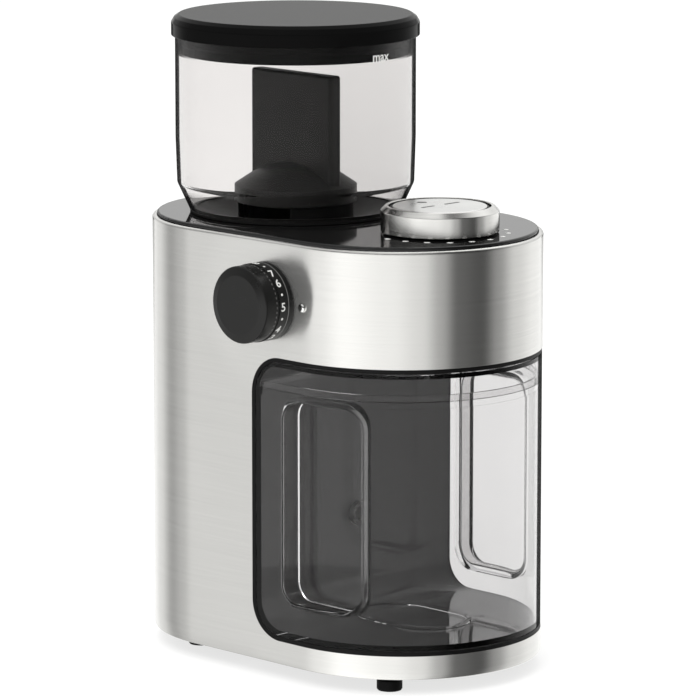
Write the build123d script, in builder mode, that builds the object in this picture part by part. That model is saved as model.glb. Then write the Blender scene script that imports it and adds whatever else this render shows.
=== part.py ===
from build123d import *
import math
import os

# A free-standing burr coffee grinder. Millimetres, +Z up, front towards -Y,
# grind-size knob towards -X. Every section below is drawn about the centre of
# the housing's plan, and FRAME then moves it so that the origin is the middle
# of the whole grinder's footprint box on the foot plane.

# ---------------------------------------------------------------- dimensions
HEIGHT = 268.0
BODY_R = 58.1
BODY_C = 33.2
STEEL_T = 0.8
STEEL_Z0 = 6.5
STEEL_Z1 = 183.1
RIM_LIP = 1.8
DECK_TOP = 184.6
DECK_Z0 = 180.3

KNOB_LENGTH = 16.2
KNOB_GAP = 0.5
KNOB_R = 16.2
KNOB_HOLLOW_R = 13.2
KNOB_PROFILE = [
    (0, 0),
    (15.7, 0),
    (KNOB_R, 0.5),
    (KNOB_R, 7.8),
    (15.9, 8.1),
    (15.7, 13.4),
    (15.55, 14.2),
    (15.1, 14.8),
    (14.5, 15.2),
    (12.4, KNOB_LENGTH),
    (0, KNOB_LENGTH),
]
GLAND_OUT = 8.2
FRAME_X = (KNOB_LENGTH + KNOB_GAP) / 2
FRAME_Y = -GLAND_OUT / 2

# container opening in the steel, seen from the side
OPEN_Y = -3.5
OPEN_Z0 = 16.3
OPEN_Z1 = 135.0
OPEN_R = 16.0
LINER_GAP = 0.1
LINER_T = 1.6
BAY_GAP = 0.4
LINER_IN = LINER_GAP + LINER_T
CUP_IN = LINER_IN + BAY_GAP

# main axes
BURR = (0.0, 29.8)
DIAL = (0.0, -54.5)
KNOB_Y = -12.7
KNOB_Z = 158.1
CHUTE = (0.0, -33.5)
SNOUT_Y = -3.2
INDEX_Y = -33.2
INDEX_Z = 157.5
INDEX_OUT = 1.2

# fasteners
SCREW_R = 1.5
SCREW_HEAD_R = 2.8
SCREW_HEAD_H = 2.0
SCREW_LENGTH = 10.0
COLUMNS = [(-48.0, 8.0), (48.0, 8.0), (-36.0, 68.0), (48.0, 50.0)]
LINER_POSTS = [(-42.0, -48.0), (42.0, -48.0), (0.0, -82.0)]
BOARD_POSTS = [(-26.0, -72.0), (26.0, -72.0), (-26.0, -38.0), (26.0, -38.0)]
FEET = [(-37.2, -62.6), (37.2, -62.6), (-37.2, 49.9), (37.2, 49.9)]

# heights of the drive train
CHASSIS_Z0 = 106.0
CHASSIS_Z1 = 110.0
BOX_Z0 = 112.0
BOX_FLOOR = 114.5
BOX_TOP = 133.5
COVER_TOP = 136.5
CHAMBER_FLOOR = 142.0
CHAMBER_TOP = 165.4
COLUMN_TOP = 168.0
BASE_Z0 = 7.5
BASE_TOP = 10.5

# gear train: motor pinion, two-step idler, burr spindle gear
MODULE_1 = 0.8
MODULE_2 = 1.0
PINION_TEETH = 17
IDLER_TEETH = 47
SPINDLE_TEETH = 48
MESH_1 = MODULE_1 * (PINION_TEETH + IDLER_TEETH) / 2
MESH_2 = MODULE_2 * (PINION_TEETH + SPINDLE_TEETH) / 2
IDLER = (BURR[0] + 0.6 * MESH_2, BURR[1] + 0.8 * MESH_2)
MOTOR = (IDLER[0] - MESH_1, IDLER[1])
SHAFT_FIT = 0.05

# grind adjustment: worm on the knob shaft, toothed ring round the chamber
RING_MODULE = 1.5
RING_TEETH = 50
RING_PITCH_R = RING_MODULE * RING_TEETH / 2
WORM_R = BURR[1] - KNOB_Y - RING_PITCH_R
WORM_PITCH = math.pi * RING_MODULE
RING_Z0 = KNOB_Z - 3.5
RING_Z1 = KNOB_Z + 3.5
RAMP_SLOPE = math.tan(math.radians(15.0))
TOOTH_SLACK = 0.3

FRAME = Location((FRAME_X, FRAME_Y, 0))


# ------------------------------------------------------------------- helpers
def save(part, label):
    """Moves a finished sub-part into the part frame and writes its STEP file."""
    placed = part.moved(FRAME)
    placed.label = label
    export_step(placed, "parts/" + label + ".step")


def plan_sketch(radius, z):
    """The housing's stadium plan at a height, with the given end radius."""
    with BuildSketch(Plane.XY.offset(z)) as outline:
        SlotCenterToCenter(2 * BODY_C, 2 * radius, rotation=90)
    return outline.sketch


def plan_block(radius, z0, z1, mode=Mode.ADD):
    """An upright block with the housing's plan."""
    return extrude(plan_sketch(radius, z0), amount=z1 - z0, mode=mode)


def disc(centres, radius, z0, z1, mode=Mode.ADD):
    """Upright cylinders on the given centres."""
    with BuildSketch(Plane.XY.offset(z0)) as outline:
        with Locations(*centres):
            Circle(radius)
    return extrude(outline.sketch, amount=z1 - z0, mode=mode)


def block(x0, x1, y0, y1, z0, z1, mode=Mode.ADD):
    """A box between two corners."""
    with BuildSketch(Plane.XY.offset(z0)) as outline:
        with Locations(((x0 + x1) / 2, (y0 + y1) / 2)):
            Rectangle(x1 - x0, y1 - y0)
    return extrude(outline.sketch, amount=z1 - z0, mode=mode)


def turned(points, centre, mode=Mode.ADD):
    """A ring or disc revolved about an upright axis from (radius, z) points."""
    middle = (centre[0], centre[1], 0)
    with BuildSketch(Plane(origin=middle, x_dir=(1, 0, 0), z_dir=(0, -1, 0))) as profile:
        with BuildLine():
            Polyline(*points, close=True)
        make_face()
    return revolve(profile.sketch, axis=Axis(middle, (0, 0, 1)), mode=mode)


def cross_rod(x0, x1, radius, y, z, mode=Mode.ADD):
    """A cylinder lying along X."""
    with BuildSketch(Plane.YZ.offset(x0)) as outline:
        with Locations((y, z)):
            Circle(radius)
    return extrude(outline.sketch, amount=x1 - x0, mode=mode)


def rear_rod(y0, y1, radius, x, z, mode=Mode.ADD):
    """A cylinder lying along Y."""
    start = Plane(origin=(x, y0, z), x_dir=(1, 0, 0), z_dir=(0, 1, 0))
    with BuildSketch(start) as outline:
        Circle(radius)
    return extrude(outline.sketch, amount=y1 - y0, mode=mode)


def polygon_block(points, z0, z1, mode=Mode.ADD):
    """An upright prism over a polygon."""
    with BuildSketch(Plane.XY.offset(z0)) as outline:
        with BuildLine():
            Polyline(*points, close=True)
        make_face()
    return extrude(outline.sketch, amount=z1 - z0, mode=mode)


def opening_sketch(inset):
    """The container opening in side view, drawn inset from the steel's edge."""
    front = -(BODY_C + BODY_R + 10)
    rear = OPEN_Y - inset
    low = OPEN_Z0 + inset
    high = OPEN_Z1 - inset
    with BuildSketch(Plane.YZ) as outline:
        with Locations(((front + rear) / 2, (low + high) / 2)):
            Rectangle(rear - front, high - low)
        corners = outline.vertices().sort_by(Axis.X)[-2:]
        fillet(corners, OPEN_R - inset)
    return outline.sketch


def bay_solid(radius, inset):
    """The plan block cut to the opening's side view, both with an inset."""
    upright = plan_block(radius, 0, HEIGHT, Mode.PRIVATE)
    across = extrude(opening_sketch(inset), amount=BODY_R + 10, both=True, mode=Mode.PRIVATE)
    return upright & across


def polar(centre, radius, degrees):
    """A point at an angle round a centre."""
    turn = math.radians(degrees)
    return (centre[0] + radius * math.cos(turn), centre[1] + radius * math.sin(turn))


def involute(angle):
    return math.tan(angle) - angle


def gear_points(centre, teeth, module, slack, first_tooth, add=0.95, dedendum=1.2):
    """Outline of a 20 degree involute gear with one tooth centred at first_tooth."""
    pitch_r = teeth * module / 2
    base_r = pitch_r * math.cos(math.radians(20))
    tip_r = pitch_r + add * module
    root_r = pitch_r - dedendum * module
    low_r = max(base_r, root_r) + 0.01
    radii = [root_r, low_r, (low_r + pitch_r) / 2, pitch_r, (pitch_r + tip_r) / 2, tip_r]
    half_at_pitch = math.pi / (2 * teeth) - slack / (2 * pitch_r)
    flank = []
    for radius in radii:
        pressure = math.acos(min(1.0, base_r / max(radius, base_r)))
        half = half_at_pitch + involute(math.radians(20)) - involute(pressure)
        flank.append((radius, math.degrees(half)))
    points = []
    for tooth in range(teeth):
        middle = first_tooth + 360 * tooth / teeth
        for radius, half in flank:
            points.append(polar(centre, radius, middle - half))
        for radius, half in reversed(flank):
            points.append(polar(centre, radius, middle + half))
    return points


def star_sketch(centre, count, inner_r, outer_r, z, turn):
    """A toothed outline with sharp ridges at outer_r."""
    points = []
    for ridge in range(count):
        angle = turn + 360 * ridge / count
        points.append(polar(centre, outer_r, angle))
        points.append(polar(centre, inner_r, angle + 180 / count))
    with BuildSketch(Plane.XY.offset(z)) as outline:
        with BuildLine():
            Polyline(*points, close=True)
        make_face()
    return outline.sketch


def screws(centres, seat_z, length, up=False):
    """Pan-head screws seated at a height and pointing down, or up."""
    way = 1 if up else -1
    head_z = seat_z - way * SCREW_HEAD_H
    disc(centres, SCREW_HEAD_R, min(head_z, seat_z), max(head_z, seat_z))
    disc(centres, SCREW_R, min(seat_z, seat_z + way * length), max(seat_z, seat_z + way * length))


# ----------------------------------------------------------- outer housing
KNOB_HOLE_R = 5.0
GLAND_Z = 24.0
GLAND_R = 7.5
PIN_R = 1.9


def make_steel_housing():
    with BuildPart() as steel_housing:
        plan_block(BODY_R, STEEL_Z0, STEEL_Z1)
        top_edges = steel_housing.faces().sort_by(Axis.Z)[-1].edges()
        fillet(top_edges, 1.2)
        plan_block(BODY_R - STEEL_T, STEEL_Z0, STEEL_Z1 - STEEL_T, Mode.SUBTRACT)
        plan_block(BODY_R - RIM_LIP, STEEL_Z1 - 2, STEEL_Z1 + 1, Mode.SUBTRACT)
        extrude(opening_sketch(0), amount=BODY_R + 5, both=True, mode=Mode.SUBTRACT)
        cross_rod(-BODY_R - 1, -BODY_R + 3, KNOB_HOLE_R, KNOB_Y, KNOB_Z, Mode.SUBTRACT)
        cross_rod(-BODY_R - 1, -BODY_R + 3, PIN_R, INDEX_Y, INDEX_Z, Mode.SUBTRACT)
        rear_rod(80, 100, GLAND_R, 0, GLAND_Z, Mode.SUBTRACT)
    save(steel_housing.part, "steel_housing")


SEAT_HOLE_R = 44.0
DIAL_SLEEVE_R = 8.0


def make_top_deck():
    with BuildPart() as top_deck:
        plan_block(BODY_R - RIM_LIP - 0.15, DECK_Z0, DECK_TOP)
        top_edges = top_deck.faces().sort_by(Axis.Z)[-1].edges()
        fillet(top_edges, 1.0)
        plan_block(BODY_R - STEEL_T - 0.2, DECK_Z0, STEEL_Z1 - STEEL_T - 0.1)
        disc([BURR], SEAT_HOLE_R, DECK_Z0 - 1, DECK_TOP + 1, Mode.SUBTRACT)
        disc(COLUMNS, 4.2, COLUMN_TOP, DECK_Z0)
        disc(LINER_POSTS, 4.5, 138.5, DECK_Z0)
        disc(BOARD_POSTS, 3.0, 166.6, DECK_Z0)
        disc([DIAL], 12.0, 176.0, DECK_Z0)
        disc([DIAL], DIAL_SLEEVE_R + SHAFT_FIT, 170, DECK_TOP + 1, Mode.SUBTRACT)
        disc(COLUMNS, SCREW_R, COLUMN_TOP - 1, 177, Mode.SUBTRACT)
        disc(LINER_POSTS, SCREW_R, 138, 150, Mode.SUBTRACT)
        disc(BOARD_POSTS, SCREW_R, 166, 176, Mode.SUBTRACT)
    save(top_deck.part, "top_deck")


def make_hopper_seat():
    with BuildPart() as hopper_seat:
        turned(
            [
                (28.9, 177.3),
                (28.9, 178.9),
                (42.4, 184.2),
                (43.8, 184.2),
                (43.8, DECK_Z0),
                (46.5, DECK_Z0),
                (46.5, 178.8),
                (38.0, 178.8),
            ],
            BURR,
        )
    save(hopper_seat.part, "hopper_seat")


BRACKET_POINTS = [(-24.0, -20.5), (24.0, -20.5), (-24.0, -8.5), (24.0, -8.5)]
BRACKET_Z0 = 142.0
BRACKET_Z1 = 144.5


def make_bay_liner():
    with BuildPart() as bay_liner:
        add(bay_solid(BODY_R - 0.2, LINER_GAP))
        disc(BRACKET_POINTS, 4.0, OPEN_Z1 - LINER_GAP - 10, BRACKET_Z0)
        add(bay_solid(BODY_R + 2, LINER_IN), mode=Mode.SUBTRACT)
        disc(LINER_POSTS, 5.5, OPEN_Z1 - LINER_IN, 138.5)
        disc([CHUTE], 12.5, OPEN_Z1 - LINER_IN, 135.8)
        disc([CHUTE], 10.7, 130, 140, Mode.SUBTRACT)
        disc(LINER_POSTS, 3.2, 130, 136.5, Mode.SUBTRACT)
        disc(LINER_POSTS, SCREW_R, 130, 140, Mode.SUBTRACT)
        disc(BRACKET_POINTS, SCREW_R, BRACKET_Z0 - 7.5, BRACKET_Z0 + 1, Mode.SUBTRACT)
    save(bay_liner.part, "bay_liner")


VENT_Y = [58.0, 64.0, 70.0, 76.0]


def make_base_plate():
    rib_top = OPEN_Z0 + LINER_GAP
    with BuildPart() as base_plate:
        plan_block(BODY_R - STEEL_T - 0.2, BASE_Z0, BASE_TOP)
        for y in (-70.0, -45.0, -20.0):
            block(-34, 34, y - 1, y + 1, BASE_TOP, rib_top)
        for x in (-20.0, 20.0):
            block(x - 1, x + 1, -70, -20, BASE_TOP, rib_top)
        block(33.0, 39.0, 24, 28, BASE_TOP, 22)
        block(33.0, 39.0, 62, 66, BASE_TOP, 22)
        block(35.2, 36.9, 20, 70, 18, 23, Mode.SUBTRACT)
        for y in VENT_Y:
            with BuildSketch(Plane.XY.offset(BASE_Z0)) as slot:
                with Locations((-4, y)):
                    SlotOverall(30, 3)
            extrude(slot.sketch, amount=5, mode=Mode.SUBTRACT)
        disc(FEET, 2.5, BASE_Z0 - 1, BASE_TOP + 1, Mode.SUBTRACT)
        disc(COLUMNS, 3.4, BASE_Z0 - 1, BASE_Z0 + 1.6, Mode.SUBTRACT)
        disc(COLUMNS, SCREW_R, BASE_Z0, BASE_TOP + 1, Mode.SUBTRACT)
    save(base_plate.part, "base_plate")


def make_rubber_feet():
    with BuildPart() as rubber_feet:
        for foot in FEET:
            turned(
                [
                    (0, 0),
                    (4.9, 0),
                    (5.3, 0.6),
                    (5.3, 4.2),
                    (4.2, 5.4),
                    (3.6, 5.6),
                    (3.6, BASE_Z0),
                    (2.5, BASE_Z0),
                    (2.5, BASE_TOP),
                    (3.2, BASE_TOP),
                    (2.2, 12.6),
                    (0, 12.6),
                ],
                foot,
            )
    save(rubber_feet.part, "rubber_feet")


def make_tie_rods():
    with BuildPart() as tie_rods:
        disc(COLUMNS, 3.2, BASE_Z0 + 0.1, BASE_Z0 + 1.6)
        disc(COLUMNS, SCREW_R, BASE_Z0 + 1.6, 176.5)
        for x, y in COLUMNS:
            block(x - 2.4, x + 2.4, y - 0.4, y + 0.4, BASE_Z0, BASE_Z0 + 0.7, Mode.SUBTRACT)
            block(x - 0.4, x + 0.4, y - 2.4, y + 2.4, BASE_Z0, BASE_Z0 + 0.7, Mode.SUBTRACT)
    save(tie_rods.part, "tie_rods")


ISOLATORS = [(-36.0, 6.0), (36.0, 6.0), (-42.0, 46.0), (42.0, 30.0)]


def make_chassis():
    with BuildPart() as chassis:
        plan_block(BODY_R - 1.6, CHASSIS_Z0, CHASSIS_Z1)
        block(-70, 70, -100, -1.5, CHASSIS_Z0 - 1, CHASSIS_Z1 + 1, Mode.SUBTRACT)
        disc(COLUMNS, 4.0, BASE_TOP, COLUMN_TOP)
        disc([MOTOR], 25.0, CHASSIS_Z0 - 1, CHASSIS_Z1 + 1, Mode.SUBTRACT)
        disc(COLUMNS, SCREW_R + 0.3, BASE_TOP - 1, COLUMN_TOP + 1, Mode.SUBTRACT)
        disc(ISOLATORS, SCREW_R, CHASSIS_Z0 - 1, CHASSIS_Z1 + 1, Mode.SUBTRACT)
    save(chassis.part, "chassis")


def make_isolators():
    with BuildPart() as isolators:
        disc(ISOLATORS, 5.5, CHASSIS_Z1, BOX_Z0)
        disc(ISOLATORS, SCREW_R, CHASSIS_Z1 - 1, BOX_Z0 + 1, Mode.SUBTRACT)
    save(isolators.part, "isolators")


def make_index_pin():
    with BuildPart() as index_pin:
        cross_rod(-BODY_R - INDEX_OUT, -BODY_R + 2.2, PIN_R, INDEX_Y, INDEX_Z)
        outer = index_pin.faces().sort_by(Axis.X)[0].edges()
        fillet(outer, 1.1)
        cross_rod(-BODY_R + STEEL_T + 0.2, -BODY_R + 2.2, 2.9, INDEX_Y, INDEX_Z)
    save(index_pin.part, "index_pin")


SHAFT_R = 3.0


def make_knob_bush():
    inner = -BODY_R + STEEL_T
    with BuildPart() as knob_bush:
        cross_rod(-BODY_R, inner, KNOB_HOLE_R, KNOB_Y, KNOB_Z)
        cross_rod(inner, inner + 2.0, 8.0, KNOB_Y, KNOB_Z)
        cross_rod(inner, inner + 7.0, KNOB_HOLE_R, KNOB_Y, KNOB_Z)
        cross_rod(-BODY_R - 1, inner + 8, SHAFT_R + SHAFT_FIT, KNOB_Y, KNOB_Z, Mode.SUBTRACT)
    save(knob_bush.part, "knob_bush")


CORD_R = 3.5


def make_cord_gland():
    rear = BODY_C + BODY_R
    with BuildPart() as cord_gland:
        rear_rod(rear - 4.0, rear + 2.0, GLAND_R - 0.1, 0, GLAND_Z)
        rear_rod(rear + 0.4, rear + 2.6, 9.5, 0, GLAND_Z)
        rear_rod(rear + 2.6, rear + GLAND_OUT, 6.6, 0, GLAND_Z)
        end = cord_gland.faces().sort_by(Axis.Y)[-1].edges()
        fillet(end, 1.4)
        rear_rod(rear - 6.0, rear - 1.6, 9.0, 0, GLAND_Z)
        rear_rod(rear - 10, rear + 20, CORD_R, 0, GLAND_Z, Mode.SUBTRACT)
    save(cord_gland.part, "cord_gland")


# ---------------------------------------------------------- gear train case
LUGS = [(-22.5, 8.5), (22.5, 8.5), (-31.5, 36.0), (32.0, 26.0)]
COVER_LUGS = [(-19.0, 64.0), (10.0, 79.5)]
MOTOR_SCREWS = [(MOTOR[0], MOTOR[1] + 15.0), (MOTOR[0], MOTOR[1] - 15.0)]
CAVITY = [(BURR, 26.6), (IDLER, 21.0), (MOTOR, 9.5)]
WALL = 2.4
SPINDLE_R = 4.0
AXLE_R = 2.5
LOWER_BEARING_Z = BOX_Z0 + 0.6


def gear_case(extra, z0, z1, mode=Mode.ADD):
    """The gear train's outline, as overlapping discs grown by extra."""
    for centre, radius in CAVITY:
        disc([centre], radius + extra, z0, z1, mode)


def make_gearbox_housing():
    with BuildPart() as gearbox_housing:
        plan_block(50.0, BOX_Z0, BOX_FLOOR)
        block(-70, 70, -100, 0.5, BOX_Z0 - 1, BOX_FLOOR + 1, Mode.SUBTRACT)
        gear_case(WALL, BOX_Z0, BOX_TOP)
        disc(LUGS + COVER_LUGS, 4.5, BOX_Z0, BOX_TOP)
        gear_case(0, BOX_FLOOR, BOX_TOP + 1, Mode.SUBTRACT)
        disc([BURR], 9.6, BOX_FLOOR, LOWER_BEARING_Z + 4.9)
        disc([BURR], 8.0, LOWER_BEARING_Z, 120, Mode.SUBTRACT)
        disc([IDLER], 5.0, BOX_FLOOR, BOX_FLOOR + 0.9)
        disc([IDLER], AXLE_R, BOX_Z0 + 0.8, 120, Mode.SUBTRACT)
        disc([MOTOR], 7.0, BOX_Z0 - 1, 120, Mode.SUBTRACT)
        disc(COLUMNS, 4.6, BOX_Z0 - 1, BOX_FLOOR + 1, Mode.SUBTRACT)
        disc(ISOLATORS + MOTOR_SCREWS, SCREW_R, BOX_Z0 - 1, BOX_FLOOR + 1, Mode.SUBTRACT)
        disc(LUGS + COVER_LUGS, SCREW_R, BOX_TOP - 9, BOX_TOP + 1, Mode.SUBTRACT)
    save(gearbox_housing.part, "gearbox_housing")


UPPER_BEARING_Z = 134.5
UPPER_BEARING_R = 11.0
UPPER_BEARING_W = 7.0


def make_gearbox_cover():
    seat_top = UPPER_BEARING_Z + UPPER_BEARING_W
    with BuildPart() as gearbox_cover:
        gear_case(WALL, BOX_TOP, COVER_TOP)
        disc(LUGS + COVER_LUGS, 4.5, BOX_TOP, COVER_TOP)
        disc([BURR], 13.0, COVER_TOP, seat_top)
        disc([BURR], UPPER_BEARING_R, UPPER_BEARING_Z, seat_top + 1, Mode.SUBTRACT)
        disc([BURR], 9.0, BOX_TOP - 1, seat_top, Mode.SUBTRACT)
        disc([IDLER], AXLE_R, BOX_TOP - 1, BOX_TOP + 2, Mode.SUBTRACT)
        disc(LUGS + COVER_LUGS, SCREW_R, BOX_TOP - 1, COVER_TOP + 1, Mode.SUBTRACT)
    save(gearbox_cover.part, "gearbox_cover")


def ball_bearing(centre, outer_r, z0, width):
    """A sealed ball bearing drawn as its two rings joined by the shield."""
    inner_r = SPINDLE_R + SHAFT_FIT
    z1 = z0 + width
    dip = 0.35
    turned(
        [
            (inner_r, z0),
            (inner_r + 1.4, z0),
            (inner_r + 1.4, z0 + dip),
            (outer_r - 1.4, z0 + dip),
            (outer_r - 1.4, z0),
            (outer_r, z0),
            (outer_r, z1),
            (outer_r - 1.4, z1),
            (outer_r - 1.4, z1 - dip),
            (inner_r + 1.4, z1 - dip),
            (inner_r + 1.4, z1),
            (inner_r, z1),
        ],
        centre,
    )


def make_spindle_bearings():
    with BuildPart() as spindle_bearings:
        ball_bearing(BURR, 8.0, LOWER_BEARING_Z, 5.0)
        ball_bearing(BURR, UPPER_BEARING_R, UPPER_BEARING_Z, UPPER_BEARING_W)
    save(spindle_bearings.part, "spindle_bearings")


def make_idler_axle():
    with BuildPart() as idler_axle:
        disc([IDLER], AXLE_R, BOX_Z0 + 0.8, BOX_TOP + 2.0)
    save(idler_axle.part, "idler_axle")


def make_case_screws():
    with BuildPart() as case_screws:
        screws(LUGS, 139.5, SCREW_LENGTH)
        screws(COVER_LUGS, COVER_TOP, SCREW_LENGTH)
        screws(ISOLATORS + MOTOR_SCREWS, BOX_FLOOR, SCREW_LENGTH)
        screws(BRACKET_POINTS, BRACKET_Z1, SCREW_LENGTH)
        screws(LINER_POSTS, 136.5, SCREW_LENGTH, up=True)
        screws(BOARD_POSTS, 165.0, SCREW_LENGTH, up=True)
    save(case_screws.part, "case_screws")


# -------------------------------------------------------- grinding chamber
CHAMBER_R = 29.9
CHAMBER_WALL_R = 31.1
KEY_ANGLES = [30.0, 150.0, 270.0]


def make_burr_housing():
    with BuildPart() as burr_housing:
        disc([BURR], 33.0, COVER_TOP, CHAMBER_FLOOR)
        disc(LUGS, 4.5, COVER_TOP, 139.5)
        disc([BURR], CHAMBER_WALL_R, CHAMBER_FLOOR, CHAMBER_TOP)
        disc([BURR], 35.0, 151.5, RING_Z0 - 0.3)
        disc([BURR], CHAMBER_R, CHAMBER_FLOOR, CHAMBER_TOP + 1, Mode.SUBTRACT)
        disc([BURR], 13.2, COVER_TOP - 1, CHAMBER_FLOOR + 1, Mode.SUBTRACT)
        disc(LUGS, SCREW_R, COVER_TOP - 1, 140, Mode.SUBTRACT)
        disc(LUGS, SCREW_HEAD_R + 0.2, 139.5, 142.5, Mode.SUBTRACT)
        block(-11.0, 11.0, SNOUT_Y, 2.0, COVER_TOP + 2, 150.2)
        disc([BURR], CHAMBER_R, CHAMBER_FLOOR, 151, Mode.SUBTRACT)
        block(-9.0, 9.0, -5, 10, CHAMBER_FLOOR, 148.6, Mode.SUBTRACT)
        for angle in KEY_ANGLES:
            with BuildSketch(Plane.XY.offset(156.0)) as slot:
                with Locations(Pos(*BURR) * Rot(0, 0, angle) * Pos(30.5, 0)):
                    Rectangle(3.0, 3.4)
            extrude(slot.sketch, amount=12, mode=Mode.SUBTRACT)
    save(burr_housing.part, "burr_housing")


def duct(half_width, z_in, z_out, z_top, mode):
    """The sloping channel from the chamber's snout to the drop."""
    with BuildSketch(Plane.YZ.offset(-half_width)) as passage:
        with BuildLine():
            Polyline(
                (SNOUT_Y, z_in),
                (SNOUT_Y, z_top),
                (CHUTE[1], z_top),
                (CHUTE[1], z_out),
                close=True,
            )
        make_face()
    extrude(passage.sketch, amount=2 * half_width, mode=mode)


def make_chute():
    with BuildPart() as chute:
        duct(11.0, 140.4, 136.0, 150.2, Mode.ADD)
        disc([CHUTE], 10.5, OPEN_Z1 - LINER_IN, 150.2)
        disc([CHUTE], 9.0, 130, 148.6, Mode.SUBTRACT)
        duct(9.0, CHAMBER_FLOOR, 137.6, 148.6, Mode.SUBTRACT)
    save(chute.part, "chute")


def make_worm_bracket():
    with BuildPart() as worm_bracket:
        for side in (-1, 1):
            inner = side * 15.2
            outer = side * 28.0
            block(min(inner, outer), max(inner, outer), -25, -4.5, BRACKET_Z0, BRACKET_Z1)
            wall = side * 18.2
            block(min(inner, wall), max(inner, wall), -17.7, -7.7, BRACKET_Z1, KNOB_Z)
            cross_rod(min(inner, wall), max(inner, wall), 5.0, KNOB_Y, KNOB_Z)
        block(-15.2, 15.2, -25, -22.6, 153, 158)
        block(-18.2, -15.2, -25, -17.7, BRACKET_Z1, 158)
        block(15.2, 18.2, -25, -17.7, BRACKET_Z1, 158)
        cross_rod(-30, 30, SHAFT_R + SHAFT_FIT, KNOB_Y, KNOB_Z, Mode.SUBTRACT)
        disc(BRACKET_POINTS, SCREW_R, BRACKET_Z0 - 1, BRACKET_Z1 + 1, Mode.SUBTRACT)
    save(worm_bracket.part, "worm_bracket")


# -------------------------------------------------------------------- motor
MOTOR_R = 24.0
MOTOR_Z0 = 38.0
MOTOR_SHAFT_R = 2.5
ROTOR_R = 17.5


def make_motor_can():
    with BuildPart() as motor_can:
        disc([MOTOR], MOTOR_R, MOTOR_Z0, BOX_Z0)
        disc([MOTOR], MOTOR_R - 1.5, MOTOR_Z0 - 1, BOX_Z0 - 2.0, Mode.SUBTRACT)
        disc([MOTOR], 6.5, BOX_Z0, BOX_Z0 + 2.3)
        disc([MOTOR], 6.5, BOX_Z0 - 5.0, BOX_Z0 - 2.0)
        disc([MOTOR], MOTOR_SHAFT_R + SHAFT_FIT, 90, 130, Mode.SUBTRACT)
        disc(MOTOR_SCREWS, SCREW_R, BOX_Z0 - 3, BOX_Z0 + 1, Mode.SUBTRACT)
    save(motor_can.part, "motor_can")


def make_motor_magnets():
    with BuildPart() as motor_magnets:
        disc([MOTOR], MOTOR_R - 1.5, 56, 96)
        disc([MOTOR], ROTOR_R + 0.8, 55, 97, Mode.SUBTRACT)
        block(-60, 60, MOTOR[1] - 7, MOTOR[1] + 7, 50, 100, Mode.SUBTRACT)
    save(motor_magnets.part, "motor_magnets")


def make_motor_end_cap():
    with BuildPart() as motor_end_cap:
        disc([MOTOR], MOTOR_R, MOTOR_Z0 - 3, MOTOR_Z0)
        disc([MOTOR], MOTOR_R - 1.5, MOTOR_Z0, MOTOR_Z0 + 4)
        disc([MOTOR], MOTOR_R - 4, MOTOR_Z0, MOTOR_Z0 + 5, Mode.SUBTRACT)
        disc([MOTOR], 6.5, MOTOR_Z0 - 7, MOTOR_Z0)
        disc([MOTOR], MOTOR_SHAFT_R + SHAFT_FIT, MOTOR_Z0 - 5, MOTOR_Z0 + 1, Mode.SUBTRACT)
        for side in (-1, 1):
            x = MOTOR[0] + side * 14.0
            block(x - 4.5, x + 4.5, MOTOR[1] - 3.5, MOTOR[1] + 3.5, MOTOR_Z0, 50)
            block(x - 6.0, x + 6.0, MOTOR[1] - 2.2, MOTOR[1] + 2.2, 42, 48, Mode.SUBTRACT)
            block(x - 0.4, x + 0.4, MOTOR[1] + 14, MOTOR[1] + 17, 27, MOTOR_Z0 - 3)
    save(motor_end_cap.part, "motor_end_cap")


COMMUTATOR_R = 8.0


def make_motor_brushes():
    with BuildPart() as motor_brushes:
        for side in (-1, 1):
            near = MOTOR[0] + side * (COMMUTATOR_R + 0.05)
            far = MOTOR[0] + side * 17.5
            x0 = min(near, far)
            x1 = max(near, far)
            block(x0, x1, MOTOR[1] - 2.1, MOTOR[1] + 2.1, 42.1, 47.9)
        disc([MOTOR], COMMUTATOR_R + 0.05, 40, 50, Mode.SUBTRACT)
    save(motor_brushes.part, "motor_brushes")


def make_motor_shaft():
    with BuildPart() as motor_shaft:
        disc([MOTOR], MOTOR_SHAFT_R, MOTOR_Z0 - 4.5, 122.5)
    save(motor_shaft.part, "motor_shaft")


def make_armature():
    slots = 9
    with BuildPart() as armature:
        disc([MOTOR], ROTOR_R, 58, 94)
        for slot in range(slots):
            middle = polar(MOTOR, ROTOR_R, 360 * slot / slots)
            disc([middle], 2.2, 57, 95, Mode.SUBTRACT)
        disc([MOTOR], 13.0, 52, 58)
        disc([MOTOR], 13.0, 94, 100)
        disc([MOTOR], COMMUTATOR_R, 41, 52)
        disc([MOTOR], MOTOR_SHAFT_R, 40, 101, Mode.SUBTRACT)
    save(armature.part, "armature")


def make_motor_pinion():
    with BuildPart() as motor_pinion:
        outline = gear_points(MOTOR, PINION_TEETH, MODULE_1, 0.12, 0)
        polygon_block(outline, 116, 122)
        disc([MOTOR], MOTOR_SHAFT_R, 115, 123, Mode.SUBTRACT)
    save(motor_pinion.part, "motor_pinion")


def make_idler_gear():
    toward_burr = math.degrees(math.atan2(BURR[1] - IDLER[1], BURR[0] - IDLER[0]))
    with BuildPart() as idler_gear:
        polygon_block(gear_points(IDLER, IDLER_TEETH, MODULE_1, 0.12, 0), 116, 122)
        disc([IDLER], 7.0, 122, 123.5)
        outline = gear_points(IDLER, PINION_TEETH, MODULE_2, 0.12, toward_burr)
        polygon_block(outline, 123.5, 132)
        disc([IDLER], 5.5, 132, 132.8)
        disc([IDLER], AXLE_R + SHAFT_FIT, 115, 134, Mode.SUBTRACT)
    save(idler_gear.part, "idler_gear")


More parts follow.
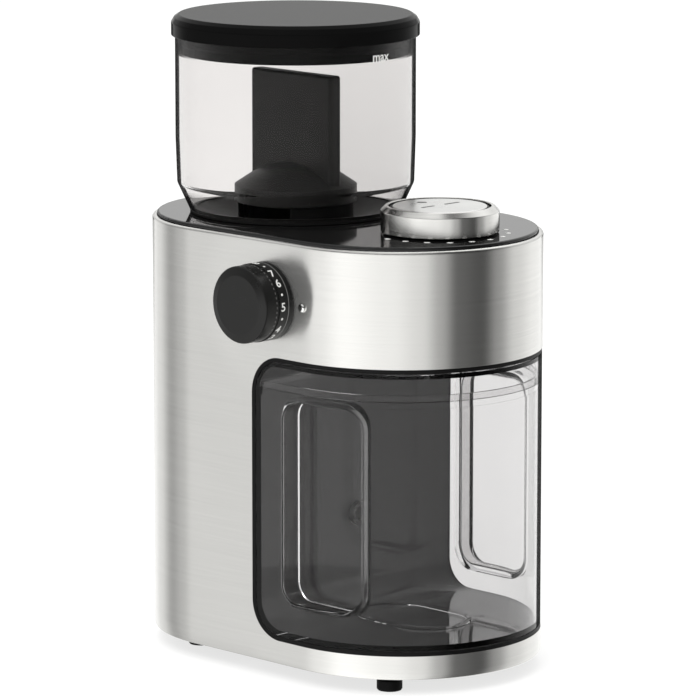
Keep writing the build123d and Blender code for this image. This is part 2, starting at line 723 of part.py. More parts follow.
def make_spindle_gear():
    toward_idler = math.degrees(math.atan2(IDLER[1] - BURR[1], IDLER[0] - BURR[0]))
    gap = toward_idler + 180 / SPINDLE_TEETH
    with BuildPart() as spindle_gear:
        polygon_block(gear_points(BURR, SPINDLE_TEETH, MODULE_2, 0.12, gap), 124, 131.5)
        turned([(9, 123), (19.5, 123), (19.5, 126), (9, 126)], BURR, Mode.SUBTRACT)
        turned([(9, 129.5), (19.5, 129.5), (19.5, 133), (9, 133)], BURR, Mode.SUBTRACT)
        disc([BURR], SPINDLE_R, 123, 133, Mode.SUBTRACT)
    save(spindle_gear.part, "spindle_gear")


# -------------------------------------------------------- turning burr stack
SPINDLE_TOP = 163.5
LOWER_BURR_Z0 = 146.0
LOWER_BURR_Z1 = 165.5
BOLT_R = 2.5


def make_drive_spindle():
    collar = 5.2
    with BuildPart() as drive_spindle:
        disc([BURR], SPINDLE_R, LOWER_BEARING_Z + 0.2, SPINDLE_TOP)
        disc([BURR], collar, 118.0, 124.0)
        disc([BURR], collar, 131.5, UPPER_BEARING_Z - 0.3)
        disc([BURR], BOLT_R, 152.0, SPINDLE_TOP + 1, Mode.SUBTRACT)
    save(drive_spindle.part, "drive_spindle")


def make_impeller():
    blades = 4
    with BuildPart() as impeller:
        disc([BURR], 26.5, 143.0, LOWER_BURR_Z0)
        for blade in range(blades):
            place = Pos(*BURR) * Rot(0, 0, 45 + 360 * blade / blades)
            with BuildSketch(Plane.XY.offset(143.0)) as fin:
                with Locations(place * Pos(26.4, 0)):
                    Rectangle(5.6, 2.4)
            extrude(fin.sketch, amount=6.2)
        disc([BURR], SPINDLE_R, 140, 150, Mode.SUBTRACT)
    save(impeller.part, "impeller")


def make_lower_burr():
    ridges = 30
    with BuildPart() as lower_burr:
        loft(
            [
                star_sketch(BURR, ridges, 18.3, 19.4, LOWER_BURR_Z0, 0),
                star_sketch(BURR, ridges, 18.0, 19.4, 152.5, 8),
            ],
            ruled=True,
        )
        loft(
            [
                star_sketch(BURR, ridges, 18.0, 19.4, 152.5, 8),
                star_sketch(BURR, ridges, 7.4, 8.6, LOWER_BURR_Z1, 32),
            ],
            ruled=True,
        )
        disc([BURR], SPINDLE_R, 140, SPINDLE_TOP, Mode.SUBTRACT)
        disc([BURR], BOLT_R, 160, 170, Mode.SUBTRACT)
    save(lower_burr.part, "lower_burr")


def make_burr_bolt():
    with BuildPart() as burr_bolt:
        disc([BURR], BOLT_R, 153.0, LOWER_BURR_Z1)
        disc([BURR], 6.4, LOWER_BURR_Z1, 166.3)
        with BuildSketch(Plane.XY.offset(166.3)) as head:
            with Locations(BURR):
                RegularPolygon(4.6, 6)
        extrude(head.sketch, amount=3.4)
    save(burr_bolt.part, "burr_bolt")


# ----------------------------------------------------- grind size adjustment
CARRIER_R = 29.6
RAMP_IN = 31.7
RAMP_OUT = 34.8
RAMP_ANGLES = [90.0, 210.0, 330.0]
RAMP_MIDDLE_Z = 163.2
RAMP_HALF = 4.0


def ramp_plane(angle):
    """A plane facing outwards at a ramp, with its local X along the rim."""
    base = polar(BURR, RAMP_IN, angle)
    turn = math.radians(angle)
    return Plane(
        origin=(base[0], base[1], 0),
        x_dir=(-math.sin(turn), math.cos(turn), 0),
        z_dir=(math.cos(turn), math.sin(turn), 0),
    )


def make_adjust_ring():
    lean = math.degrees(WORM_PITCH / (2 * math.pi * WORM_R) * 3.5 / RING_PITCH_R)
    with BuildPart() as adjust_ring:
        sections = []
        for z, turn in ((RING_Z0, -lean), (RING_Z1, lean)):
            points = gear_points(BURR, RING_TEETH, RING_MODULE, TOOTH_SLACK, -90 + turn, 0.85, 1.15)
            with BuildSketch(Plane.XY.offset(z)) as outline:
                with BuildLine():
                    Polyline(*points, close=True)
                make_face()
            sections.append(outline.sketch)
        loft(sections, ruled=True)
        for angle in RAMP_ANGLES:
            with BuildSketch(ramp_plane(angle)) as ramp:
                with BuildLine():
                    Polyline(
                        (-RAMP_HALF, RING_Z1 - 1),
                        (RAMP_HALF, RING_Z1 - 1),
                        (RAMP_HALF, RAMP_MIDDLE_Z - RAMP_HALF * RAMP_SLOPE),
                        (-RAMP_HALF, RAMP_MIDDLE_Z + RAMP_HALF * RAMP_SLOPE),
                        close=True,
                    )
                make_face()
            extrude(ramp.sketch, amount=RAMP_OUT - RAMP_IN)
        disc([BURR], CHAMBER_WALL_R + 0.3, 150, 170, Mode.SUBTRACT)
    save(adjust_ring.part, "adjust_ring")


def make_burr_carrier():
    slope = 0.3
    flange_z = 166.8
    with BuildPart() as burr_carrier:
        turned(
            [
                (24.0, 151.5),
                (CARRIER_R, 151.5),
                (CARRIER_R, flange_z),
                (RAMP_OUT, flange_z),
                (RAMP_OUT, 169.6),
                (28.0, 169.6),
                (28.0, 176.0),
                (25.5, 176.0),
                (25.5, 170.4),
                (24.6, 170.4),
                (19.5, 169.2),
                (19.5, 167.5),
                (24.0, 167.5),
            ],
            BURR,
        )
        half = 2.2
        for angle in RAMP_ANGLES:
            with BuildSketch(ramp_plane(angle)) as foot:
                with BuildLine():
                    Polyline(
                        (-half, flange_z + 1),
                        (half, flange_z + 1),
                        (half, RAMP_MIDDLE_Z + slope - half * RAMP_SLOPE),
                        (-half, RAMP_MIDDLE_Z + slope + half * RAMP_SLOPE),
                        close=True,
                    )
                make_face()
            extrude(foot.sketch, amount=RAMP_OUT - RAMP_IN)
        for angle in KEY_ANGLES:
            with BuildSketch(Plane.XY.offset(157.5)) as key:
                with Locations(Pos(*BURR) * Rot(0, 0, angle) * Pos(29.8, 0)):
                    Rectangle(1.8, 2.6)
            extrude(key.sketch, amount=7.0)
        for angle in KEY_ANGLES:
            centre = polar(BURR, 21.9, angle)
            disc([centre], 2.3, 168.2, 172, Mode.SUBTRACT)
            disc([centre], 1.25, 166, 172, Mode.SUBTRACT)
    save(burr_carrier.part, "burr_carrier")


def make_upper_burr():
    grooves = 30
    with BuildPart() as upper_burr:
        disc([BURR], 24.0, 151.5, 167.5)
        loft(
            [
                star_sketch(BURR, grooves, 20.4, 21.4, 151.5, 0),
                star_sketch(BURR, grooves, 20.0, 20.9, 153.0, -2),
            ],
            ruled=True,
            mode=Mode.SUBTRACT,
        )
        loft(
            [
                star_sketch(BURR, grooves, 20.0, 20.9, 153.0, -2),
                star_sketch(BURR, grooves, 12.6, 14.2, 167.5, -24),
            ],
            ruled=True,
            mode=Mode.SUBTRACT,
        )
        for angle in KEY_ANGLES:
            disc([polar(BURR, 21.9, angle)], 1.25, 160, 170, Mode.SUBTRACT)
    save(upper_burr.part, "upper_burr")


def make_burr_screws():
    with BuildPart() as burr_screws:
        for angle in KEY_ANGLES:
            centre = polar(BURR, 21.9, angle)
            disc([centre], 2.2, 168.2, 169.6)
            disc([centre], 1.25, 160.0, 168.2)
    save(burr_screws.part, "burr_screws")


def make_worm():
    core_r = WORM_R - 1.2 * RING_MODULE
    tip = 0.85 * RING_MODULE
    turns = 5
    half_pitch_line = (math.pi * RING_MODULE / 2 - TOOTH_SLACK) / 2
    lean = math.tan(math.radians(20))
    root = -1.2 * RING_MODULE - 0.4
    with BuildPart() as worm:
        with BuildLine(mode=Mode.PRIVATE) as thread_path:
            Helix(WORM_PITCH, turns * WORM_PITCH, WORM_R, center=(0, 0, -turns * WORM_PITCH / 2))
        start = Plane(origin=(WORM_R, 0, -turns * WORM_PITCH / 2), x_dir=(1, 0, 0), z_dir=(0, 1, 0))
        with BuildSketch(start) as thread:
            with BuildLine():
                Polyline(
                    (root, -half_pitch_line + root * lean),
                    (tip, -half_pitch_line + tip * lean),
                    (tip, half_pitch_line - tip * lean),
                    (root, half_pitch_line - root * lean),
                    close=True,
                )
            make_face()
        sweep(thread.sketch, path=thread_path.line, is_frenet=True)
        Cylinder(core_r, 28.0)
        Cylinder(SHAFT_R, 40.0, mode=Mode.SUBTRACT)
    lying = Plane(origin=(0, KNOB_Y, KNOB_Z), x_dir=(0, 1, 0), z_dir=(1, 0, 0))
    save(worm.part.moved(lying.location), "worm")


def make_knob_shaft():
    with BuildPart() as knob_shaft:
        cross_rod(-BODY_R - 14.0, 20.5, SHAFT_R, KNOB_Y, KNOB_Z)
        tail = knob_shaft.faces().sort_by(Axis.X)[-1].edges()
        chamfer(tail, 0.5)
    save(knob_shaft.part, "knob_shaft")


def make_grind_knob():
    back = -BODY_R - KNOB_GAP
    face = back - KNOB_LENGTH
    with BuildPart() as shell:
        turned(KNOB_PROFILE, (0, 0))
        face_edge = shell.faces().sort_by(Axis.Z)[-1].edges()
        fillet(face_edge, 4.0)
    lying = Plane(origin=(back, KNOB_Y, KNOB_Z), x_dir=(0, 1, 0), z_dir=(-1, 0, 0))
    with BuildPart() as grind_knob:
        add(shell.part.moved(lying.location))
        cross_rod(face + 2.5, -BODY_R, KNOB_HOLLOW_R, KNOB_Y, KNOB_Z, Mode.SUBTRACT)
        cross_rod(face + 2.0, back - 1.0, 6.0, KNOB_Y, KNOB_Z)
        block(face + 2, -63, KNOB_Y - 13.5, KNOB_Y + 13.5, KNOB_Z - 0.8, KNOB_Z + 0.8)
        block(face + 2, -63, KNOB_Y - 0.8, KNOB_Y + 0.8, KNOB_Z - 13.5, KNOB_Z + 13.5)
        cross_rod(-BODY_R - 14.0, -BODY_R, SHAFT_R, KNOB_Y, KNOB_Z, Mode.SUBTRACT)
    save(grind_knob.part, "grind_knob")


# -------------------------------------------------------------------- dial
DIAL_R = 24.4
DIAL_Z0 = 185.2
DIAL_Z1 = 195.8
BUTTON_R = 20.5
BUTTON_TRAVEL = 1.2


def make_dial_ring():
    with BuildPart() as dial_ring:
        turned(
            [
                (20.9, 187.4),
                (22.0, 187.4),
                (22.0, DIAL_Z0 + 0.1),
                (DIAL_R, DIAL_Z0 + 0.1),
                (DIAL_R, DIAL_Z1 - 2.4),
                (DIAL_R - 1.7, DIAL_Z1 - 0.3),
                (DIAL_R - 2.4, DIAL_Z1),
                (20.9, DIAL_Z1),
            ],
            DIAL,
        )
    save(dial_ring.part, "dial_ring")


def make_dial_carrier():
    with BuildPart() as dial_carrier:
        disc([DIAL], 22.0, DIAL_Z0, 187.4)
        disc([DIAL], DIAL_SLEEVE_R, 172.0, DIAL_Z0)
        disc([DIAL], 5.5, 170, 190, Mode.SUBTRACT)
        for angle in (0, 90, 180, 270):
            with BuildSketch(Plane.XY.offset(172.0)) as notch:
                with Locations(Pos(*DIAL) * Rot(0, 0, angle) * Pos(7, 0)):
                    Rectangle(4, 1.6)
            extrude(notch.sketch, amount=1.6, mode=Mode.SUBTRACT)
    save(dial_carrier.part, "dial_carrier")


def make_button_cap():
    with BuildPart() as button_cap:
        disc([DIAL], BUTTON_R, 192.8, DIAL_Z1 - 0.2)
        rim = button_cap.faces().sort_by(Axis.Z)[-1].edges()
        fillet(rim, 0.3)
    save(button_cap.part, "button_cap")


def make_button_stem():
    with BuildPart() as button_stem:
        disc([DIAL], 19.4, 191.4, 192.8)
        disc([DIAL], 5.42, 173.4, 191.4)
        disc([DIAL], 14.5, 190.6, 191.4)
        turned([(9.4, 190.0), (12.6, 190.0), (12.6, 191.0), (9.4, 191.0)], DIAL, Mode.SUBTRACT)
    save(button_stem.part, "button_stem")


def make_button_spring():
    wire = 0.45
    coil_r = 11.0
    low = 187.4 + wire + 0.1
    high = 191.0 - wire - 0.1
    with BuildPart() as button_spring:
        with BuildLine(mode=Mode.PRIVATE) as coil_path:
            Helix((high - low) / 2.5, high - low, coil_r, center=(DIAL[0], DIAL[1], low))
        start = Plane(
            origin=(DIAL[0] + coil_r, DIAL[1], low), x_dir=(1, 0, 0), z_dir=(0, 1, 0)
        )
        with BuildSketch(start) as section:
            Circle(wire)
        sweep(section.sketch, path=coil_path.line, is_frenet=True)
    save(button_spring.part, "button_spring")


# -------------------------------------------------------------- electronics
def make_control_board():
    with BuildPart() as control_board:
        block(-30, 30, -76, -34, 165.0, 166.6)
        disc(BOARD_POSTS, SCREW_R, 164, 168, Mode.SUBTRACT)
    save(control_board.part, "control_board")


def make_dial_encoder():
    with BuildPart() as dial_encoder:
        disc([DIAL], 12.0, 166.6, 171.6)
        disc([DIAL], 7.0, 166, 172, Mode.SUBTRACT)
        for angle in (45, 135, 225, 315):
            disc([polar(DIAL, 10.0, angle)], 0.8, 171.0, 171.9)
    save(dial_encoder.part, "dial_encoder")


BOARD_X0 = 35.2
BOARD_X1 = 36.8


def make_power_board():
    with BuildPart() as power_board:
        block(BOARD_X0, BOARD_X1, 22, 68, 18, 92)
    save(power_board.part, "power_board")


def make_board_parts():
    with BuildPart() as board_parts:
        cross_rod(23.5, BOARD_X0, 5.0, 36, 76)
        cross_rod(23.5, BOARD_X0, 5.0, 36, 62)
        block(22, BOARD_X0, 28, 44, 26, 50)
        block(27, BOARD_X0, 52, 66, 26, 46)
        block(26, BOARD_X0, 50, 52.5, 56, 86)
        block(-22, -4, -46, -36, 163.4, 165.0)
        block(10, 20, -50, -40, 162.0, 165.0)
        block(-3, 3, DIAL[1] - 3, DIAL[1] + 3, 166.6, 170.2)
        disc([DIAL], 1.7, 170.2, 171.9)
    save(board_parts.part, "board_parts")


def make_reed_switches():
    with BuildPart() as reed_switches:
        block(-7, 7, 68.2, 72.0, 175.8, 178.8)
        block(-7, 7, OPEN_Y - 0.1, OPEN_Y + 1.9, 58.0, 62.0)
    save(reed_switches.part, "reed_switches")


# ------------------------------------------------------------------- hopper
BOWL_Z0 = 185.9
BOWL_TOP = 262.5
BOWL_R = 50.5
BOWL_WALL = 1.5


def make_hopper_bowl():
    with BuildPart() as hopper_bowl:
        turned(
            [
                (43.1, BOWL_Z0),
                (44.7, BOWL_Z0),
                (46.2, 189.1),
                (48.2, 193.4),
                (50.1, 197.6),
                (50.4, 198.7),
                (BOWL_R, 200.0),
                (BOWL_R, BOWL_TOP - 0.5),
                (BOWL_R - 0.4, BOWL_TOP),
                (BOWL_R - BOWL_WALL, BOWL_TOP),
                (BOWL_R - BOWL_WALL, 200.4),
                (48.6, 198.4),
                (46.7, 194.0),
                (44.8, 189.8),
            ],
            BURR,
        )
    save(hopper_bowl.part, "hopper_bowl")


MAGNET = (0.0, BURR[1] + 40.0)
MAGNET_R = 1.5
MAGNET_Z0 = 184.5
MAGNET_Z1 = 185.6
GATE_R = 22.4


def make_hopper_base():
    with BuildPart() as hopper_base:
        turned(
            [
                (GATE_R, 173.0),
                (24.5, 173.0),
                (24.5, 177.8),
                (42.6, 184.9),
                (44.5, 184.9),
                (44.5, BOWL_Z0),
                (42.9, BOWL_Z0),
                (42.9, 187.4),
                (41.6, 187.4),
                (41.6, 187.0),
                (26.0, 180.6),
                (GATE_R, 180.6),
            ],
            BURR,
        )
        turned([(GATE_R, 180), (24.2, 180), (24.2, 189.6), (GATE_R, 189.6)], BURR)
        block(-30, 30, BURR[1] - 16.2, BURR[1] + 16.2, 180.6, 195, Mode.SUBTRACT)
        turned([(26.0, 180.6), (41.6, 187.0), (42.0, 184.7), (26.0, 178.6)], BURR)
        disc([MAGNET], MAGNET_R, 180, MAGNET_Z1, Mode.SUBTRACT)
    save(hopper_base.part, "hopper_base")


def make_hopper_magnet():
    with BuildPart() as hopper_magnet:
        disc([MAGNET], MAGNET_R, MAGNET_Z0, MAGNET_Z1)
    save(hopper_magnet.part, "hopper_magnet")


def make_valve_drum():
    drum_r = 22.0
    with BuildPart() as valve_drum:
        turned([(20.4, 171.8), (drum_r, 171.8), (drum_r, 190.0), (20.4, 190.0)], BURR)
        block(-30, 30, BURR[1] - 14.0, BURR[1] + 14.0, 181.0, 189.0, Mode.SUBTRACT)
        for angle in (45, 135, 225, 315):
            with BuildSketch(Plane.XY.offset(171.8)) as lug:
                with Locations(Pos(*BURR) * Rot(0, 0, angle) * Pos(22.3, 0)):
                    Rectangle(2.4, 5)
            extrude(lug.sketch, amount=0.9)
    save(valve_drum.part, "valve_drum")


HUB_R = 25.8
PADDLE_TOP = 243.4
PADDLE_HALF = 24.0
PADDLE_T = 6.6
PADDLE_BASE = 196.5
DOME_R = 19.5
DOME_Z = 200.2
DOME_TOP = 205.5
DOME_BALL = (DOME_R**2 + (DOME_TOP - DOME_Z) ** 2) / (2 * (DOME_TOP - DOME_Z))


def make_valve_paddle():
    with BuildPart() as valve_paddle:
        turned([(0, 190.0), (HUB_R, 190.0), (HUB_R, 196.0), (DOME_R, DOME_Z), (0, DOME_Z)], BURR)
        ball = Pos(BURR[0], BURR[1], DOME_TOP - DOME_BALL) * Sphere(DOME_BALL, mode=Mode.PRIVATE)
        add(ball & disc([BURR], DOME_R, DOME_Z - 1, DOME_TOP + 1, Mode.PRIVATE))
        with BuildSketch(Plane.XY.offset(PADDLE_BASE)) as blade:
            with Locations(BURR):
                RectangleRounded(PADDLE_T, 2 * PADDLE_HALF, 1.6)
        extrude(blade.sketch, amount=PADDLE_TOP - PADDLE_BASE)
        crown = valve_paddle.faces().sort_by(Axis.Z)[-1].edges()
        fillet(crown, 1.2)
    save(valve_paddle.part, "valve_paddle")


LID_R = 52.1


def make_hopper_lid():
    with BuildPart() as hopper_lid:
        turned(
            [
                (0, 264.8),
                (46.6, 264.8),
                (46.6, 253.0),
                (48.0, 253.0),
                (48.0, 264.0),
                (51.2, 264.0),
                (51.2, 259.2),
                (LID_R, 259.2),
                (LID_R, 264.4),
                (51.65, 266.1),
                (50.4, 267.2),
                (48.6, HEIGHT),
                (0, HEIGHT),
            ],
            BURR,
        )
    save(hopper_lid.part, "hopper_lid")


def make_lid_seal():
    with BuildPart() as lid_seal:
        turned(
            [
                (48.0, 255.6),
                (48.4, 255.6),
                (48.7, 256.4),
                (48.4, 257.2),
                (48.4, 258.6),
                (48.7, 259.4),
                (48.4, 260.2),
                (48.0, 260.2),
            ],
            BURR,
        )
    save(lid_seal.part, "lid_seal")


# ---------------------------------------------------------------- container
CUP_SPLIT = 121.5
CUP_T = 2.0
LID_T = 1.2
GRIP_Y0 = -59.2
GRIP_Y1 = -21.2
GRIP_Z0 = 33.0
GRIP_Z1 = 117.5
GRIP_X = 48.5
GRIP_CORNER = 8.0
GRIP_ROUND = 1.4
CUP_OUT_R = BODY_R - 0.2
CUP_MAGNET_Z = 60.0


def grip_solid(side, grow):
    """The block that makes one finger recess, grown by a wall thickness."""
    inner = side * (GRIP_X - grow)
    with BuildSketch(Plane.YZ.offset(inner)) as recess:
        with Locations(((GRIP_Y0 + GRIP_Y1) / 2, (GRIP_Z0 + GRIP_Z1) / 2)):
            width = GRIP_Y1 - GRIP_Y0 + 2 * grow
            height = GRIP_Z1 - GRIP_Z0 + 2 * grow
            RectangleRounded(width, height, GRIP_CORNER + grow)
    return extrude(recess.sketch, amount=side * 20, mode=Mode.PRIVATE)


def recess_edges(solid, side, deepest):
    """The edges of one finger recess: at its floor, or round its mouth."""
    found = []
    for edge in solid.edges():
        box = edge.bounding_box()
        near, far = sorted((side * box.min.X, side * box.max.X))
        beside = box.min.Y > GRIP_Y0 - 0.5 and box.max.Y < GRIP_Y1 + 0.5
        level = box.min.Z > GRIP_Z0 - 0.5 and box.max.Z < GRIP_Z1 + 0.5
        at_floor = abs(near - GRIP_X) < 0.01 and abs(far - GRIP_X) < 0.01
        at_mouth = near > GRIP_X + 2.5
        if beside and level and (at_floor if deepest else at_mouth):
            found.append(edge)
    return found


def make_container():
    rear_wall = OPEN_Y - CUP_IN - CUP_T
    with BuildPart() as container:
        add(bay_solid(CUP_OUT_R, CUP_IN))
        for side in (-1, 1):
            add(grip_solid(side, 0), mode=Mode.SUBTRACT)
        for deepest in (True, False):
            for side in (-1, 1):
                fillet(recess_edges(container, side, deepest), GRIP_ROUND)
        block(-80, 80, -120, 20, CUP_SPLIT, 150, Mode.SUBTRACT)
        cavity = bay_solid(CUP_OUT_R - CUP_T, CUP_IN + CUP_T)
        for side in (-1, 1):
            cavity = cavity - grip_solid(side, CUP_T)
        add(cavity, mode=Mode.SUBTRACT)
        lip_outer = bay_solid(CUP_OUT_R - 1.5, CUP_IN + 1.5)
        lip_inner = bay_solid(CUP_OUT_R - 2.6, CUP_IN + 2.6)
        band = block(-80, 80, -120, 20, CUP_SPLIT - 3, CUP_SPLIT + 2.6, Mode.PRIVATE)
        add((lip_outer - lip_inner) & band)
        with BuildSketch(Plane.XY.offset(20.4)) as plinth:
            with Locations((0, -40.0)):
                RectangleRounded(35, 52, 17)
            offset(amount=-1.6, mode=Mode.SUBTRACT)
        extrude(plinth.sketch, amount=1.2)
        rear_rod(rear_wall - 2.5, rear_wall + 0.5, 5.0, 0, CUP_MAGNET_Z)
        rear_rod(rear_wall - 2.0, rear_wall + 0.8, 3.0, 0, CUP_MAGNET_Z, Mode.SUBTRACT)
    save(container.part, "container")


def make_container_magnet():
    rear_wall = OPEN_Y - CUP_IN - CUP_T
    with BuildPart() as container_magnet:
        rear_rod(rear_wall - 2.0, rear_wall + 0.8, 3.0, 0, CUP_MAGNET_Z)
    save(container_magnet.part, "container_magnet")


def make_container_lid():
    with BuildPart() as container_lid:
        add(bay_solid(CUP_OUT_R, CUP_IN))
        block(-80, 80, -120, 20, 0, CUP_SPLIT, Mode.SUBTRACT)
        cavity = bay_solid(CUP_OUT_R - LID_T, CUP_IN + LID_T)
        below = block(-80, 80, -120, 20, 100, OPEN_Z1 - CUP_IN - 2.0, Mode.PRIVATE)
        add(cavity & below, mode=Mode.SUBTRACT)
        disc([CHUTE], 13.0, 127.5, OPEN_Z1 - CUP_IN)
        disc([CHUTE], 11.4, 120, 140, Mode.SUBTRACT)
    save(container_lid.part, "container_lid")


MAKERS = [
    make_steel_housing,
    make_top_deck,
    make_hopper_seat,
    make_bay_liner,
    make_base_plate,
    make_rubber_feet,
    make_tie_rods,
    make_chassis,
    make_isolators,
    make_index_pin,
    make_knob_bush,
    make_cord_gland,
    make_gearbox_housing,
    make_gearbox_cover,
    make_spindle_bearings,
    make_idler_axle,
    make_case_screws,
    make_burr_housing,
    make_chute,
    make_worm_bracket,
    make_motor_can,
    make_motor_magnets,
    make_motor_end_cap,
    make_motor_brushes,
    make_motor_shaft,
    make_armature,
    make_motor_pinion,
    make_idler_gear,
    make_spindle_gear,
    make_drive_spindle,
    make_impeller,
    make_lower_burr,
    make_burr_bolt,
    make_adjust_ring,
    make_burr_carrier,
    make_upper_burr,
    make_burr_screws,
    make_worm,
    make_knob_shaft,
    make_grind_knob,
    make_dial_ring,
    make_dial_carrier,
    make_button_cap,
    make_button_stem,
    make_button_spring,
    make_control_board,
    make_dial_encoder,
    make_power_board,
    make_board_parts,
    make_reed_switches,
    make_hopper_bowl,
    make_hopper_base,
    make_hopper_magnet,
    make_valve_drum,
    make_valve_paddle,
    make_hopper_lid,
    make_lid_seal,
    make_container,
    make_container_magnet,
    make_container_lid,
]

os.makedirs("parts", exist_ok=True)
for make in MAKERS:
    make()
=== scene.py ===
import math

import bmesh
import bpy
from mathutils import Matrix, Vector


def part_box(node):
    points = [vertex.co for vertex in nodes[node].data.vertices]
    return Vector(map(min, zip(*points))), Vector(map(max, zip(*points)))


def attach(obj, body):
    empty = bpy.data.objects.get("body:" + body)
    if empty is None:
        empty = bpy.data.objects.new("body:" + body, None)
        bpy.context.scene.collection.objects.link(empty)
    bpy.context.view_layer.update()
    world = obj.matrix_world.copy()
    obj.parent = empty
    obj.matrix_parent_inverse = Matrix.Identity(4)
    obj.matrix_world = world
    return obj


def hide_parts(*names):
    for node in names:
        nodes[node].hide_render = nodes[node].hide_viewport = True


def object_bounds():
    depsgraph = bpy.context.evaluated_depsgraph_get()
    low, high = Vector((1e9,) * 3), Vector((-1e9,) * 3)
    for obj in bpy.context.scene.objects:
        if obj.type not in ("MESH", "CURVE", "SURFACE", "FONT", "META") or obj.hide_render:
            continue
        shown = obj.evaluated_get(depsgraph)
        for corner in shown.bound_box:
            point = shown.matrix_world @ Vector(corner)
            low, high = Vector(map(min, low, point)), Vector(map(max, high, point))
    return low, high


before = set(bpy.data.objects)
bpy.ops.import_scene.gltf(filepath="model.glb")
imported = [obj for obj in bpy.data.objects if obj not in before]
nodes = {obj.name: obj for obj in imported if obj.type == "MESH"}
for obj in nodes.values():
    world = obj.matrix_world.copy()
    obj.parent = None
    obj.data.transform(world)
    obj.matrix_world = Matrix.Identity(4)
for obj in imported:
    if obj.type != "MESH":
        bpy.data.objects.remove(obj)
cad_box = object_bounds()
scene = bpy.context.scene
MM = 0.001


# ------------------------------------------------------------------ places
def middle(node):
    """The centre of a CAD node's box, in metres."""
    low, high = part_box(node)
    return (low + high) / 2


HOUSING_LOW, HOUSING_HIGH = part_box("steel_housing")
HOUSING = middle("steel_housing")
BODY_R = (HOUSING_HIGH.x - HOUSING_LOW.x) / 2
BODY_C = (HOUSING_HIGH.y - HOUSING_LOW.y) / 2 - BODY_R
HOPPER = middle("hopper_bowl")
DIAL = middle("dial_ring")
KNOB = middle("grind_knob")
DECK_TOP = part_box("top_deck")[1].z


# ------------------------------------------------------------------ shaders
class Shade:
    """A procedural material round one Principled shader."""

    def __init__(self, name, **sockets):
        self.mat = bpy.data.materials.new(name)
        self.mat.use_nodes = True
        self.tree = self.mat.node_tree
        self.shader = self.tree.nodes["Principled BSDF"]
        self.place = self.node("ShaderNodeTexCoord").outputs["Object"]
        for key, value in sockets.items():
            self.shader.inputs[key.replace("_", " ")].default_value = value

    def node(self, kind, inputs=(), **settings):
        """A node whose inputs are values or other nodes' outputs."""
        made = self.tree.nodes.new(kind)
        for key, value in settings.items():
            setattr(made, key, value)
        for key, value in dict(inputs).items():
            if isinstance(value, bpy.types.NodeSocket):
                self.tree.links.new(value, made.inputs[key])
            else:
                made.inputs[key].default_value = value
        return made

    def link(self, value, socket):
        """Feeds one of the Principled shader's sockets."""
        self.tree.links.new(value, self.shader.inputs[socket])

    def noise(self, scale, detail=3.0, sharp=0.5):
        """Noise, with one scale or one for each axis, in cycles per metre."""
        if isinstance(scale, (int, float)):
            scale = (scale, scale, scale)
        stretched = self.node("ShaderNodeMapping", {"Vector": self.place, "Scale": scale})
        inputs = {"Vector": stretched.outputs["Vector"], "Scale": 1.0, "Detail": detail, "Roughness": sharp}
        return self.node("ShaderNodeTexNoise", inputs).outputs["Fac"]

    def spread(self, value, low, high, start=0.3, end=0.7):
        """A value moved from one range to another."""
        inputs = {"Value": value, "From Min": start, "From Max": end, "To Min": low, "To Max": high}
        return self.node("ShaderNodeMapRange", inputs).outputs["Result"]

    def maths(self, operation, first, second=0.0):
        """A sum on one or two numbers."""
        return self.node("ShaderNodeMath", {0: first, 1: second}, operation=operation).outputs[0]

    def vector(self, operation, first, second=(0.0, 0.0, 0.0), output="Vector"):
        """A sum on one or two vectors."""
        made = self.node("ShaderNodeVectorMath", {0: first, 1: second}, operation=operation)
        return made.outputs[output]

    def part(self, vector, axis):
        """One component of a vector."""
        return self.node("ShaderNodeSeparateXYZ", {0: vector}).outputs[axis]

    def mixed(self, share, first, second):
        """A blend between two shaders' outputs."""
        return self.node("ShaderNodeMixShader", {0: share, 1: first, 2: second}).outputs[0]

    def tones(self, value, first, second):
        """A blend between two colours."""
        ends = [c if isinstance(c, bpy.types.NodeSocket) else (*c, 1.0) for c in (first, second)]
        inputs = {"Factor": value, "A": ends[0], "B": ends[1]}
        made = self.tree.nodes.new("ShaderNodeMix")
        made.data_type = "RGBA"
        for socket in made.inputs:
            if socket.enabled and socket.name in inputs:
                given = inputs[socket.name]
                if isinstance(given, bpy.types.NodeSocket):
                    self.tree.links.new(given, socket)
                else:
                    socket.default_value = given
        return next(s for s in made.outputs if s.enabled)

    def bump(self, height, distance):
        """A bumped normal, with the distance in metres."""
        inputs = {"Height": height, "Distance": distance, "Strength": 1.0}
        return self.node("ShaderNodeBump", inputs).outputs["Normal"]


def shaded(colour, share):
    """A colour made lighter or darker."""
    return tuple(min(1.0, channel * share) for channel in colour)


def moulded(name, colour, rough, grain=2500.0, depth=3e-6, vary=0.07, sway=0.13, **sockets):
    """Moulded plastic or rubber: fine grain, soft drifts of tone and of gloss."""
    shade = Shade(name, **sockets)
    drift = shade.noise(38.0, 4.0)
    speck = shade.noise(grain * 0.6, 2.0)
    blend = shade.maths("ADD", shade.spread(drift, 0.0, 0.7), shade.spread(speck, 0.0, 0.3))
    shade.link(shade.tones(blend, shaded(colour, 1 - vary), shaded(colour, 1 + vary)), "Base Color")
    gloss = shade.noise(95.0, 5.0)
    shade.link(shade.spread(gloss, rough * (1 - sway), rough * (1 + sway)), "Roughness")
    shade.link(shade.bump(shade.noise(grain, 3.0), depth), "Normal")
    return shade.mat


REFLECTION_PATCH_REACH = (0.028, 0.042)


